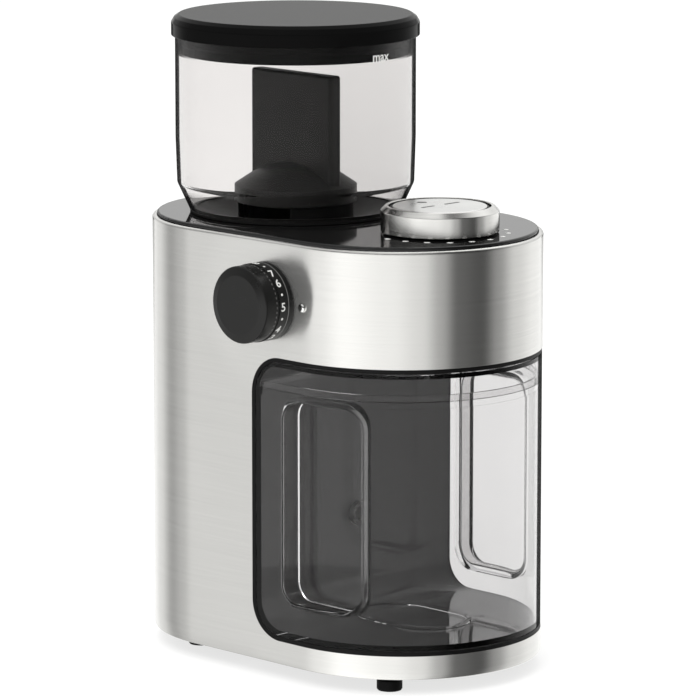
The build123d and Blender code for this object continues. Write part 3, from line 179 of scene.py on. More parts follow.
def brushed(name, colour, rough, fine=4200.0, along=26.0, reflection_patch_at=None, **sockets):
    """Sheet metal brushed level: hairlines run round the walls.

    Close round a given place it is a little less metallic: painted reflection, a duller patch that stands
    in for a nearby part mirrored softly in the steel."""
    shade = Shade(name, Metallic=1.0, **sockets)
    hair = shade.noise((along, along, fine), 3.0, sharp=0.6)
    band = shade.noise((along * 0.4, along * 0.4, fine * 0.16), 3.0)
    drift = shade.noise(14.0, 2.0)
    lines = shade.maths("ADD", shade.spread(hair, 0.0, 0.6), shade.spread(band, 0.0, 0.4))
    shade.link(shade.tones(lines, shaded(colour, 0.93), shaded(colour, 1.05)), "Base Color")
    streaks = shade.spread(lines, -0.035, 0.035, 0.0, 1.0)
    patches = shade.spread(drift, rough * 0.94, rough * 1.06)
    shade.link(shade.maths("ADD", streaks, patches), "Roughness")
    shade.link(shade.bump(hair, 2e-6), "Normal")
    if reflection_patch_at:
        # Painted reflection: the steel is less metallic close to the given place, for a nearby part's soft
        # reflection.
        away = shade.vector("DISTANCE", shade.place, reflection_patch_at, "Value")
        shade.link(shade.spread(away, 0.85, 1.0, *REFLECTION_PATCH_REACH), "Metallic")
    tangent = shade.node("ShaderNodeTangent", direction_type="RADIAL", axis="Z")
    shade.link(tangent.outputs["Tangent"], "Tangent")
    return shade.mat


def cast_metal(name, colour, rough, grain=900.0, depth=1.2e-5, **sockets):
    """Machined or sintered metal with a fine tooth."""
    shade = Shade(name, Metallic=1.0, **sockets)
    drift = shade.spread(shade.noise(60.0, 4.0), 0.0, 1.0)
    shade.link(shade.tones(drift, shaded(colour, 0.85), shaded(colour, 1.1)), "Base Color")
    shade.link(shade.spread(shade.noise(240.0, 3.0), rough * 0.85, rough * 1.2), "Roughness")
    shade.link(shade.bump(shade.noise(grain, 4.0), depth), "Normal")
    return shade.mat


CLEAR_IOR = 1.49
EDGE_SHADE_BLACK = (0.012, 0.012, 0.012, 1.0)
SHADOW_TINT = (0.95, 0.95, 0.95, 1.0)
SIDEWAYS = (0.7071, -0.7071, 0.0)
PAINTED_SHADE_REACH = 0.055


def clear(name, tint, start, end, rough=0.02, shine=0.3, axis=None, band=None):
    """Clear moulded plastic that lets lamps through; its upright walls go dark where seen edge on: painted
    shade, a black shader mixed in for the dark edges of thick clear walls.

    With an axis given, only the walls that look away from it do so. A band, which needs an
    axis, gives two heights between which a darker zone of painted shade begins, and deepens
    the tint below it and to one side, also painted shade."""
    shade = Shade(name, Transmission_Weight=1.0, IOR=CLEAR_IOR, Specular_Tint=(shine, shine, shine, 1.0))
    body = shade.tones(shade.spread(shade.noise(55.0, 3.0), 0.0, 1.0), shaded(tint, 0.99), tint)
    facing = shade.node("ShaderNodeLayerWeight", {"Blend": 0.5}).outputs["Facing"]
    shade.link(body, "Base Color")
    normal = shade.node("ShaderNodeTexCoord").outputs["Normal"]
    lean = shade.maths("ABSOLUTE", shade.part(normal, "Z"))
    upright = shade.spread(lean, 1.0, 0.0, 0.5, 0.8)
    turned = shade.maths("MULTIPLY", shade.spread(facing, 0.0, 0.96, start, end), upright)
    if axis:
        out = shade.vector("SUBTRACT", shade.place, (*axis, 0.0))
        flat = shade.vector("MULTIPLY", out, (1.0, 1.0, 0.0))
        outward = shade.vector("DOT_PRODUCT", flat, normal, "Value")
        turned = shade.maths("MULTIPLY", turned, shade.maths("GREATER_THAN", outward, 0.0))
    if band:
        # Painted shade: below the band and toward one side the tint is deeper.
        height = shade.part(shade.place, "Z")
        beyond = shade.vector("DOT_PRODUCT", flat, SIDEWAYS, "Value")
        climb = shade.spread(height, 0.0, 1.0, band[0] - PAINTED_SHADE_REACH, band[0])
        painted_shade_tint = shade.tones(climb, shaded(tint, 0.86), shaded(tint, 0.925))
        shade.link(shade.tones(shade.spread(beyond, 0.0, 1.0, -0.012, 0.02), body, painted_shade_tint), "Base Color")
        # Painted shade: above the band, walls seen edge on go dark over a wider reach.
        zone = shade.spread(height, 0.0, 0.9, *band)
        beside = shade.maths("MULTIPLY", zone, shade.spread(facing, 0.0, 1.0, 0.4, 0.7))
        turned = shade.maths("MAXIMUM", turned, beside)
    shade.link(shade.spread(shade.noise(170.0, 4.0), rough * 0.6, rough * 1.5), "Roughness")
    shade.link(shade.bump(shade.noise(24.0, 2.0), 4e-6), "Normal")
    # Painted shade: a black shader where upright walls are seen edge on, for the dark edges of thick clear
    # walls.
    dark = shade.node("ShaderNodeBsdfDiffuse", {"Color": EDGE_SHADE_BLACK})
    whole = shade.mixed(turned, shade.shader.outputs[0], dark.outputs[0])
    open_way = shade.node("ShaderNodeBsdfTransparent", {"Color": SHADOW_TINT})
    shadow = shade.node("ShaderNodeLightPath").outputs["Is Shadow Ray"]
    last = next(n for n in shade.tree.nodes if n.type == "OUTPUT_MATERIAL")
    shade.tree.links.new(shade.mixed(shadow, whole, open_way.outputs[0]), last.inputs["Surface"])
    return shade.mat


def lined(name, colour, lip, rough, depth):
    """Moulded plastic with a darker lip: the part within a depth in mm of the housing's skin."""
    shade = Shade(name, Specular_IOR_Level=0.15)
    drift = shade.spread(shade.noise(38.0, 4.0), 0.0, 1.0)
    plain = shade.tones(drift, shaded(colour, 0.94), shaded(colour, 1.06))
    across = shade.maths("SUBTRACT", shade.part(shade.place, "X"), HOUSING.x)
    along = shade.maths("ABSOLUTE", shade.maths("SUBTRACT", shade.part(shade.place, "Y"), HOUSING.y))
    along = shade.maths("MAXIMUM", shade.maths("SUBTRACT", along, BODY_C), 0.0)
    spine = shade.node("ShaderNodeCombineXYZ", {0: across, 1: along})
    reach = shade.vector("LENGTH", spine.outputs[0], output="Value")
    edge = shade.spread(reach, 0.0, 1.0, BODY_R - (depth + 0.7) * MM, BODY_R - (depth + 0.5) * MM)
    shade.link(shade.tones(edge, plain, lip), "Base Color")
    shade.link(shade.spread(shade.noise(95.0, 5.0), rough * 0.88, rough * 1.12), "Roughness")
    shade.link(shade.bump(shade.noise(2200.0, 3.0), 1e-6), "Normal")
    return shade.mat


HOPPER_TINT = (0.885, 0.872, 0.866)
TUB_TINT = (0.83, 0.825, 0.825)
BRUSHED_LEVEL = {"Anisotropic_Rotation": 0.25}
MATERIALS = {
    # Round the knob the steel carries a painted reflection of the knob.
    "steel": brushed(
        "brushed_steel", (0.80, 0.795, 0.775), 0.22, reflection_patch_at=KNOB, Anisotropic=0.85, **BRUSHED_LEVEL
    ),
    "dial_metal": brushed(
        "spun_dial", (0.83, 0.825, 0.805), 0.2, fine=5200.0, Anisotropic=0.9, **BRUSHED_LEVEL
    ),
    "deck_black": moulded("gloss_black", (0.006, 0.006, 0.006), 0.06, 1800.0, 2e-7),
    "lid_plastic": moulded(
        "satin_black", (0.004, 0.004, 0.004), 0.16, 2600.0, 5e-8, 0.03, 0.03, Specular_IOR_Level=0.02
    ),
    "knob_plastic": moulded(
        "soft_black", (0.009, 0.009, 0.0087), 0.3, 3200.0, 1.5e-6, Specular_IOR_Level=0.28
    ),
    "paddle_plastic": moulded(
        "paddle_black", (0.012, 0.012, 0.0115), 0.36, 3600.0, 2e-7, Specular_IOR_Level=0.2
    ),
    "trim_black": moulded(
        "trim_black", (0.007, 0.007, 0.0068), 0.36, 2200.0, 1e-6, Specular_IOR_Level=0.12
    ),
    "rubber": moulded("foot_rubber", (0.004, 0.004, 0.004), 0.6, 1500.0, 8e-6, Specular_IOR_Level=0.1),
    "grey_plastic": moulded("inner_grey", (0.05, 0.05, 0.05), 0.4, 2000.0, 4e-6, Specular_IOR_Level=0.25),
    "nylon": moulded("gear_nylon", (0.62, 0.60, 0.53), 0.4, 2600.0, 8e-6, Subsurface_Weight=0.05),
    "board": moulded("board_green", (0.02, 0.11, 0.05), 0.35, 900.0, 1.2e-5),
    "components": moulded("components", (0.03, 0.03, 0.035), 0.42, 1400.0, 1e-5),
    "carbon": moulded("carbon", (0.03, 0.03, 0.03), 0.6, 3000.0, 2e-5),
    "magnet": cast_metal("magnet_plating", (0.55, 0.55, 0.54), 0.3),
    "laminations": brushed("laminations", (0.35, 0.34, 0.33), 0.42, fine=1900.0),
    "motor_zinc": cast_metal("zinc_can", (0.62, 0.63, 0.62), 0.38),
    "screw_zinc": cast_metal("screw_zinc", (0.68, 0.69, 0.68), 0.3),
    "bearing_steel": cast_metal("bearing_steel", (0.66, 0.66, 0.65), 0.2, 1400.0, 4e-6),
    "burr_steel": cast_metal("burr_steel", (0.42, 0.41, 0.40), 0.36, 1600.0, 1e-5),
    "spring_steel": cast_metal("spring_steel", (0.60, 0.60, 0.59), 0.28),
    "cast_alloy": cast_metal("cast_alloy", (0.5, 0.5, 0.5), 0.45),
    "bright_pin": cast_metal("bright_pin", (0.9, 0.9, 0.89), 0.08, 1600.0, 4e-7),
    "clear_plastic": clear("clear_plastic", (0.95, 0.948, 0.946), 0.80, 0.90),
}
SKIRT_DROP = 1.3
SKIRT_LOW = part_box("hopper_lid")[0].z - SKIRT_DROP * MM
SKIRT_BLUR = 0.0003
# The hopper's painted shade: edge-on walls go dark above the lid skirt's low edge, for the skirt seen
# through them, and the tint deepens lower down and to one side.
CLEAR_HOPPER = clear(
    "hopper_plastic",
    HOPPER_TINT,
    0.73,
    0.76,
    shine=0.1,
    axis=HOPPER[:2],
    band=(SKIRT_LOW - SKIRT_BLUR, SKIRT_LOW + SKIRT_BLUR),
)
CLEAR_TUB = clear("container_plastic", TUB_TINT, 0.75, 0.78, axis=middle("container")[:2])
LINER = lined("bay_moulding", (0.042, 0.042, 0.0413), (0.003, 0.003, 0.003), 0.45, 1.0)
PRINT_WHITE = moulded("white_print", (0.72, 0.72, 0.70), 0.5, 3000.0, 2e-6)
PRINT_GREY = moulded("grey_print", (0.20, 0.20, 0.195), 0.5, 3000.0, 2e-6)
PRINT_DARK = moulded("dark_print", (0.05, 0.05, 0.05), 0.45, 3000.0, 2e-6)
CAP_METAL = brushed("button_metal", (0.90, 0.90, 0.885), 0.3, fine=5200.0, Anisotropic=0.2)
OWN_MATERIAL = {"bay_liner": LINER, "container": CLEAR_TUB, "container_lid": CLEAR_TUB}

for name, node in nodes.items():
    slots = node.data.materials
    for index in range(len(slots)):
        slots[index] = OWN_MATERIAL.get(name) or MATERIALS[slots[index].name.split(".")[0]]


# ------------------------------------------------------------------ meshes
def rounded(corners, closed=True, steps=6, hold=0.3):
    """A profile in mm with its corners rounded. A corner is (r, z) or (r, z, radius).

    A holding point stands beside each arc, so that flat stretches shade flat."""
    count = len(corners)
    points = []
    for index, corner in enumerate(corners):
        here = Vector(corner[:2])
        radius = corner[2] if len(corner) > 2 else 0.0
        at_end = not closed and index in (0, count - 1)
        if radius <= 0 or at_end:
            points.append(here)
            continue
        back = Vector(corners[index - 1][:2]) - here
        ahead = Vector(corners[(index + 1) % count][:2]) - here
        half = back.angle(ahead) / 2
        reach = min(radius / math.tan(half), 0.49 * back.length, 0.49 * ahead.length)
        size = reach * math.tan(half)
        back, ahead_way = back.normalized(), ahead.normalized()
        hub = here + (back + ahead_way).normalized() * size / math.sin(half)
        first, last = here + back * reach - hub, here + ahead_way * reach - hub
        sweep = first.angle(last)
        points.append(here + back * (reach + hold))
        for step in range(steps + 1):
            share = step / steps
            arm = math.sin((1 - share) * sweep) * first + math.sin(share * sweep) * last
            points.append(hub + arm / math.sin(sweep))
        points.append(here + ahead_way * (reach + hold))
    return [(point.x, point.y) for point in points]


ROUND_STEPS = 256
ROUND = [2 * math.pi * k / ROUND_STEPS for k in range(ROUND_STEPS)]


def swept(profile, centre, closed=True):
    """A mesh with a profile of (r, z) in mm carried round an upright axis."""
    bm = bmesh.new()
    rings = []
    for radius, z in profile:
        if radius == 0.0:
            rings.append([bm.verts.new((centre[0], centre[1], z * MM))] * ROUND_STEPS)
            continue
        ring = []
        for angle in ROUND:
            x = centre[0] + math.cos(angle) * radius * MM
            y = centre[1] + math.sin(angle) * radius * MM
            ring.append(bm.verts.new((x, y, z * MM)))
        rings.append(ring)
    pairs = list(zip(rings, rings[1:]))
    if closed:
        pairs.append((rings[-1], rings[0]))
    for lower, upper in pairs:
        for k in range(ROUND_STEPS):
            m = (k + 1) % ROUND_STEPS
            face = []
            for vert in (lower[k], lower[m], upper[m], upper[k]):
                if vert not in face:
                    face.append(vert)
            if len(face) > 2:
                bm.faces.new(face)
    bmesh.ops.recalc_face_normals(bm, faces=bm.faces)
    return bm


def heights(node):
    """The low and high ends of a CAD node's box, in mm."""
    return [corner.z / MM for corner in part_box(node)]


def half_width(node):
    """Half of a CAD node's width along X, in mm."""
    low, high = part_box(node)
    return (high.x - low.x) / 2 / MM


def piece(name, bm, material, body, replaced=()):
    """An object from a bmesh, riding on a body and standing for CAD nodes."""
    mesh = bpy.data.meshes.new(name)
    bm.to_mesh(mesh)
    bm.free()
    mesh.polygons.foreach_set("use_smooth", [True] * len(mesh.polygons))
    mesh.materials.append(material if isinstance(material, bpy.types.Material) else MATERIALS[material])
    obj = bpy.data.objects.new(name, mesh)
    scene.collection.objects.link(obj)
    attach(obj, body)
    if replaced:
        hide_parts(*replaced)
    return obj


def modifier(obj, kind, **settings):
    """A modifier with its settings."""
    made = obj.modifiers.new(kind.lower(), kind)
    for key, value in settings.items():
        setattr(made, key, value)


# ----------------------------------------------------------- steel housing
SHEET = 0.8
RIM_LIP = 1.8
RIM_ROLL = 1.2
FOOT_ROLL = [(0.35, 0.0), (0.1, 0.15), (0.0, 0.45)]
OPEN_BACK, OPEN_LOW, OPEN_HIGH, OPEN_CORNER = -3.5, 16.3, 135.0, 16.0
ARC_STEPS, WALL_STEPS, CORNER_STEPS, FRONT_STEPS, ROLL_STEPS = 56, 9, 16, 4, 6
LOWER_ROWS, GAP_ROWS, UPPER_ROWS = 4, 20, 10
body_r, body_c = BODY_R / MM, BODY_C / MM
low_z, high_z = heights("steel_housing")


def shell_columns():
    """Half of the plan from the rear to the front, in mm about the housing's middle.

    A column has its y before the radius is added, its outward normal's x and y, the
    opening's low and high ends there, and whether it is open between them."""
    out = []
    solid = (OPEN_LOW + OPEN_CORNER, OPEN_HIGH - OPEN_CORNER, False)
    for k in range(ARC_STEPS + 1):
        angle = math.pi / 2 + math.pi / 2 * k / ARC_STEPS
        out.append((body_c, math.cos(angle), math.sin(angle), *solid))
    straight = body_c - OPEN_BACK
    for k in range(1, WALL_STEPS):
        out.append((body_c - straight * k / WALL_STEPS, -1.0, 0.0, *solid))
    for k in range(CORNER_STEPS + 1):
        turn = math.pi / 2 * k / CORNER_STEPS
        y = OPEN_BACK - OPEN_CORNER * (1 - math.cos(turn))
        rise = OPEN_CORNER * (1 - math.sin(turn))
        out.append((y, -1.0, 0.0, OPEN_LOW + rise, OPEN_HIGH - rise, True))
    rest = body_c + OPEN_BACK - OPEN_CORNER
    for k in range(1, FRONT_STEPS):
        y = OPEN_BACK - OPEN_CORNER - rest * k / FRONT_STEPS
        out.append((y, -1.0, 0.0, OPEN_LOW, OPEN_HIGH, True))
    for k in range(ARC_STEPS + 1):
        angle = math.pi + math.pi / 2 * k / ARC_STEPS
        out.append((-body_c, math.cos(angle), math.sin(angle), OPEN_LOW, OPEN_HIGH, True))
    return out


def even_rows(low, high, count, last):
    """Heights that share a stretch evenly, from the first above its low end."""
    return [(0.0, low + (high - low) * k / count) for k in range(1, last + 1)]


def shell_mesh():
    """The outer skin of the housing, rolled in at its top and bottom edges."""
    bm = bmesh.new()
    half = shell_columns()
    columns = half + [(y, -nx, ny, low, high, gap) for y, nx, ny, low, high, gap in half[-2:0:-1]]
    top = [(0.0, high_z - RIM_ROLL - 0.5)]
    for k in range(ROLL_STEPS + 1):
        turn = math.pi / 2 * k / ROLL_STEPS
        top.append((RIM_ROLL * (1 - math.cos(turn)), high_z - RIM_ROLL * (1 - math.sin(turn))))
    top.append((RIM_LIP, high_z))
    foot = [(inset, low_z + rise) for inset, rise in FOOT_ROLL]
    grid = []
    for y, nx, ny, gap_low, gap_high, gap in columns:
        rows = foot + even_rows(foot[-1][1], gap_low, LOWER_ROWS, LOWER_ROWS)
        rows += even_rows(gap_low, gap_high, GAP_ROWS, GAP_ROWS)
        rows += even_rows(gap_high, top[0][1], UPPER_ROWS, UPPER_ROWS - 1)
        rows += top
        column = []
        for inset, z in rows:
            r = body_r - inset
            x = HOUSING.x + nx * r * MM
            column.append(bm.verts.new((x, HOUSING.y + (y + ny * r) * MM, z * MM)))
        grid.append((column, gap))
    first_gap = len(foot) + LOWER_ROWS - 1
    last_gap = first_gap + GAP_ROWS
    for k, (column, gap) in enumerate(grid):
        other, other_gap = grid[(k + 1) % len(grid)]
        for row in range(len(column) - 1):
            if gap and other_gap and first_gap <= row < last_gap:
                continue
            bm.faces.new((column[row], other[row], other[row + 1], column[row + 1]))
    bmesh.ops.delete(bm, geom=[v for v in bm.verts if not v.link_faces], context="VERTS")
    bmesh.ops.recalc_face_normals(bm, faces=bm.faces)
    return bm


steel = piece("steel_shell", shell_mesh(), "steel", "housing", ["steel_housing"])
modifier(steel, "SOLIDIFY", thickness=SHEET * MM, offset=-1.0, use_even_offset=True)
edges = {"limit_method": "ANGLE", "angle_limit": math.radians(50), "harden_normals": True}
modifier(steel, "BEVEL", width=0.36 * MM, segments=3, **edges)


# ------------------------------------------------------------------ hopper
bowl_low, bowl_high = heights("hopper_bowl")
bowl_r = half_width("hopper_bowl")
WALL = 1.5
CONE_TOP = bowl_high - 46.0
bowl_profile = [
    (43.2, bowl_low, 0.3),
    (44.7, bowl_low, 0.4),
    (49.9, bowl_low + 11.3, 3.5),
    (bowl_r, CONE_TOP, 20.0),
    (bowl_r, bowl_high, 0.6),
    (bowl_r - WALL, bowl_high, 0.5),
    (bowl_r - WALL, CONE_TOP, 18.0),
    (48.4, bowl_low + 11.9, 3.0),
]
bowl = swept(rounded(bowl_profile), HOPPER)
piece("hopper_bowl_clear", bowl, CLEAR_HOPPER, "hopper", ["hopper_bowl"])

lid_low, lid_high = heights("hopper_lid")
lid_r = half_width("hopper_lid")
SKIRT_IN, SKIRT_OUT, LIP_IN = 46.6, 48.0, 51.2
skirt_low = lid_low - SKIRT_DROP
lip_low = lid_high - 8.8
gutter = lid_high - 4.0
lid_profile = [
    (0.0, lid_high - 3.2),
    (SKIRT_IN, lid_high - 3.2, 0.8),
    (SKIRT_IN, skirt_low, 0.5),
    (SKIRT_OUT, skirt_low, 0.5),
    (SKIRT_OUT, gutter, 0.5),
    (LIP_IN, gutter, 0.4),
    (LIP_IN, lip_low, 0.3),
    (lid_r, lip_low, 0.3),
    (lid_r, lid_high - 3.4, 1.6),
    (50.9, lid_high - 1.3, 1.0),
    (48.9, lid_high, 1.2),
    (0.0, lid_high),
]
lid = swept(rounded(lid_profile, closed=False), HOPPER, closed=False)
piece("lid_shell", lid, "lid_plastic", "lid", ["hopper_lid"])

# -------------------------------------------------------------------- dial
dial_low, dial_high = heights("dial_ring")
dial_r = half_width("dial_ring")
cap_low, cap_high = heights("button_cap")
DIAL_BORE, DIAL_STEP, CAP_R, CAP_RIM_R = 22.0, 21.1, 19.5, 20.5
ring_profile = [
    (DIAL_BORE, dial_low, 0.2),
    (dial_r, dial_low, 0.25),
    (dial_r, dial_high - 2.1, 0.5),
    (dial_r - 2.0, dial_high, 0.45),
    (DIAL_STEP, dial_high, 0.25),
    (DIAL_STEP, dial_low + 2.1, 0.15),
    (DIAL_BORE, dial_low + 2.1, 0.1),
]
dial = swept(rounded(ring_profile, hold=0.12), DIAL)
piece("dial_rim", dial, "dial_metal", "dial", ["dial_ring"])

cap_profile = [
    (0.0, cap_low),
    (CAP_R, cap_low, 0.3),
    (CAP_R, cap_high, 0.4),
    (0.0, cap_high),
]
cap = swept(rounded(cap_profile, closed=False, hold=0.15), DIAL, closed=False)
piece("button_face", cap, CAP_METAL, "button", ["button_cap"])
rim_profile = [
    (CAP_R + 0.1, cap_low + 0.2, 0.2),
    (CAP_RIM_R, cap_low + 0.2, 0.3),
    (CAP_RIM_R, cap_high - 0.5, 0.3),
    (CAP_R + 0.1, cap_high - 0.4, 0.1),
]
piece("button_rim", swept(rounded(rim_profile, hold=0.05), DIAL), "trim_black", "button")


def plate(outline, z0, z1):
    """A thin flat mark from a plan outline, in metres."""
    bm = bmesh.new()
    lower = [bm.verts.new((x, y, z0)) for x, y in outline]
    upper = [bm.verts.new((x, y, z1)) for x, y in outline]
    bm.faces.new(list(reversed(lower)))
    bm.faces.new(upper)
    for k in range(len(outline)):
        m = (k + 1) % len(outline)
        bm.faces.new((lower[k], lower[m], upper[m], upper[k]))
    return bm


def bar(x, y, length, width, degrees, steps=6):
    """The outline of a short bar with round ends, in mm about a point."""
    out = []
    cos, sin = math.cos(math.radians(degrees)), math.sin(math.radians(degrees))
    for side in (1, -1):
        for k in range(steps + 1):
            a = math.pi * (k / steps - 0.5) + (0 if side == 1 else math.pi)
            px = side * (length - width) / 2 + math.cos(a) * width / 2
            py = math.sin(a) * width / 2
            out.append((x + px * cos - py * sin, y + px * sin + py * cos))
    return out


def join(parts):
    """One bmesh out of several."""
    whole = bmesh.new()
    for part in parts:
        mesh = bpy.data.meshes.new("part")
        part.to_mesh(mesh)
        part.free()
        whole.from_mesh(mesh)
        bpy.data.meshes.remove(mesh)
    return whole


def marks(name, bars, centre, z, material, body):
    """Printed bars lying on a flat face: (x, y, length, width, degrees) in mm."""
    lift = 0.03 * MM
    made = []
    for spec in bars:
        outline = [(centre[0] + x * MM, centre[1] + y * MM) for x, y in bar(*spec)]
        made.append(plate(outline, z - lift, z + lift))
    return piece(name, join(made), material, body)


BUTTON_MARKS = [(-5.9, 1.1, 7.6, 1.5, 0.0), (8.0, 0.9, 8.8, 1.5, 0.0), (1.0, 11.2, 4.2, 3.0, -45.0)]
marks("button_marks", BUTTON_MARKS, DIAL, cap_high * MM, PRINT_DARK, "button")

DIAL_TICKS, TICK_START, TICK_STEP, TICK_R = 10, -185.1, 19.2, 28.0
TICK_LENGTH, TICK_WIDTH = 2.7, 2.3
ticks = []
for k in range(DIAL_TICKS):
    degrees = TICK_START + TICK_STEP * k
    angle = math.radians(degrees)
    place = (TICK_R * math.cos(angle), TICK_R * math.sin(angle))
    ticks.append((*place, TICK_LENGTH, TICK_WIDTH, degrees + 90))
marks("dial_ticks", ticks, DIAL, DECK_TOP, PRINT_WHITE, "housing")


# -------------------------------------------------------------------- knob
def lie_down(bm, centre):
    """Lays an upright mesh along -X, with its foot at a point."""
    bm.transform(Matrix.Translation(centre) @ Matrix.Rotation(-math.pi / 2, 4, "Y"))
    return bm


knob_low, knob_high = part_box("grind_knob")
KNOB_LENGTH, KNOB_BAND, KNOB_HOLLOW, KNOB_GRIP_R = 16.2, 7.8, 12.0, 15.9
knob_r = (knob_high.z - knob_low.z) / 2 / MM
knob_foot = Vector((knob_low.x + KNOB_LENGTH * MM, KNOB.y, KNOB.z))
knob_profile = [
    (0.0, KNOB_HOLLOW),
    (12.9, KNOB_HOLLOW, 0.3),
    (13.1, 0.0, 0.3),
    (knob_r, 0.0, 0.6),
    (knob_r, KNOB_BAND, 0.15),
    (KNOB_GRIP_R, KNOB_BAND + 0.3, 0.15),
    (KNOB_GRIP_R, 15.1, 0.8),
    (12.2, KNOB_LENGTH, 1.5),
    (0.0, KNOB_LENGTH),
]
knob = swept(rounded(knob_profile, closed=False, steps=8), (0.0, 0.0), closed=False)
piece("knob_shell", lie_down(knob, knob_foot), "knob_plastic", "knob", ["grind_knob"])


def knob_print(name, bm, material):
    """Print on the knob, left out of mirror reflections."""
    printed = piece(name, bm, material, "knob")
    printed.visible_glossy = False


LINE_Z, LINE_HALF, LINE_SINK, LINE_RISE = 2.9, 0.14, 0.2, 0.03
line_profile = [
    (knob_r - LINE_SINK, LINE_Z - LINE_HALF),
    (knob_r + LINE_RISE, LINE_Z - LINE_HALF),
    (knob_r + LINE_RISE, LINE_Z + LINE_HALF),
    (knob_r - LINE_SINK, LINE_Z + LINE_HALF),
]
knob_print("knob_line", lie_down(swept(line_profile, (0.0, 0.0)), knob_foot), PRINT_GREY)

CAP_HEIGHT_SHARE = 0.72
STROKE_SWELL = 0.07
PRINT_DEPTH = 0.1
PRINT_SINK = 0.05
NUMBER_Z, NUMBER_H, DOT_R = 6.0, 3.6, 0.55
NUMBER_TURNS = [-126, -90, -54, -36, 0, 36, 54, 90, 126]
DOT_TURNS = [-144, -108, -72, -18, 18, 72, 108, 144]
DASH_Z, DASH_LENGTH, DASH_WIDTH, DASH_STEP, DASHES_A_SIDE = 9.2, 0.9, 0.22, 7.2, 20
BAND_STRIPS = {"normal": (0.0, 1.0, 0.0), "step": 0.3, "count": 8}


def glyph(text, height):
    """Characters' flat shape in mm about its own middle, a little thick."""
    curve = bpy.data.curves.new("glyph", "FONT")
    curve.body = text
    curve.size = height / CAP_HEIGHT_SHARE
    curve.extrude = PRINT_DEPTH
    curve.offset = STROKE_SWELL
    obj = bpy.data.objects.new("glyph", curve)
    scene.collection.objects.link(obj)
    graph = bpy.context.evaluated_depsgraph_get()
    mesh = bpy.data.meshes.new_from_object(obj.evaluated_get(graph))
    bm = bmesh.new()
    bm.from_mesh(mesh)
    bpy.data.objects.remove(obj)
    bpy.data.curves.remove(curve)
    bpy.data.meshes.remove(mesh)
    xs = [v.co.x for v in bm.verts]
    ys = [v.co.y for v in bm.verts]
    bm.transform(Matrix.Translation((-(min(xs) + max(xs)) / 2, -(min(ys) + max(ys)) / 2, 0.0)))
    return bm


def sliced(bm, normal, step, count):
    """Cuts a flat shape into strips across a direction, so that it can bend."""
    for k in range(-count, count + 1):
        geometry = [*bm.verts, *bm.edges, *bm.faces]
        place = [k * step * part for part in normal]
        bmesh.ops.bisect_plane(bm, geom=geometry, plane_co=place, plane_no=normal)
    return bm


# A generic word for the fill level, wrapped on the front of the bowl.
FILL_Z, FILL_H, FILL_THINNING = 253.4, 3.96, 0.4
fill_word = sliced(glyph("max", FILL_H), normal=(1.0, 0.0, 0.0), step=0.6, count=10)
for vert in fill_word.verts:
    across, up, out = vert.co
    radius = bowl_r + out * FILL_THINNING
    turn = across / bowl_r
    x = HOPPER.x + radius * math.sin(turn) * MM
    y = HOPPER.y - radius * math.cos(turn) * MM
    vert.co = (x, y, (FILL_Z + up) * MM)
piece("fill_mark", fill_word, PRINT_WHITE, "hopper")


def bent_round(bm, along, degrees, radius):
    """Bends a flat shape round the knob, at a distance from its foot and a turn from the front."""
    for vert in bm.verts:
        across, up, out = vert.co
        turn = math.radians(degrees) + up / radius
        reach = radius - PRINT_SINK + out
        x = knob_foot.x - (along - across) * MM
        y = knob_foot.y - reach * math.cos(turn) * MM
        vert.co = (x, y, knob_foot.z + reach * math.sin(turn) * MM)
    return bm


def numeral(text, degrees):
    """Characters on the knob's wide band."""
    return bent_round(sliced(glyph(text, NUMBER_H), **BAND_STRIPS), NUMBER_Z, degrees, knob_r)


def dot(degrees):
    """A small round dot on the knob's wide band."""
    bm = bmesh.new()
    size = {"radius1": DOT_R, "radius2": DOT_R, "depth": 2 * PRINT_DEPTH}
    bmesh.ops.create_cone(bm, cap_ends=True, segments=20, **size)
    return bent_round(sliced(bm, **BAND_STRIPS), NUMBER_Z, degrees, knob_r)


def dash(degrees):
    """A short dash on the knob's grip, beside the band."""
    bm = bmesh.new()
    size = Matrix.Diagonal((DASH_WIDTH, DASH_LENGTH, 2 * PRINT_DEPTH, 1.0))
    bmesh.ops.create_cube(bm, size=1.0, matrix=size)
    return bent_round(bm, DASH_Z, degrees, KNOB_GRIP_R - 0.03)


printed = [numeral(str(k + 1), turn) for k, turn in enumerate(NUMBER_TURNS)]
printed += [dot(turn) for turn in DOT_TURNS]
knob_print("knob_numbers", join(printed), PRINT_WHITE)

dashes = [dash(k * DASH_STEP) for k in range(-DASHES_A_SIDE, DASHES_A_SIDE + 1)]
knob_print("knob_dashes", join(dashes), PRINT_GREY)


# ------------------------------------------------------------------- stage
FLOOR_HALF = 8.0
corners = [(x * FLOOR_HALF, y * FLOOR_HALF, 0.0) for x, y in ((-1, -1), (1, -1), (1, 1), (-1, 1))]
sheet = bpy.data.meshes.new("floor")
sheet.from_pydata(corners, [], [(0, 1, 2, 3)])
sheet.update()
floor = bpy.data.objects.new("floor", sheet)
scene.collection.objects.link(floor)
glow = {"Emission_Color": (1.0, 1.0, 0.995, 1.0), "Emission_Strength": 0.74}
paper = Shade("lit_floor", Specular_IOR_Level=0.0, **glow)
mottle = paper.spread(paper.noise(9.0, 3.0), 0.0, 1.0)
paper.link(paper.tones(mottle, (0.29, 0.29, 0.29), (0.30, 0.30, 0.298)), "Base Color")
paper.link(paper.spread(paper.noise(60.0, 3.0), 0.85, 0.95), "Roughness")
floor.data.materials.append(paper.mat)
floor.visible_glossy = False

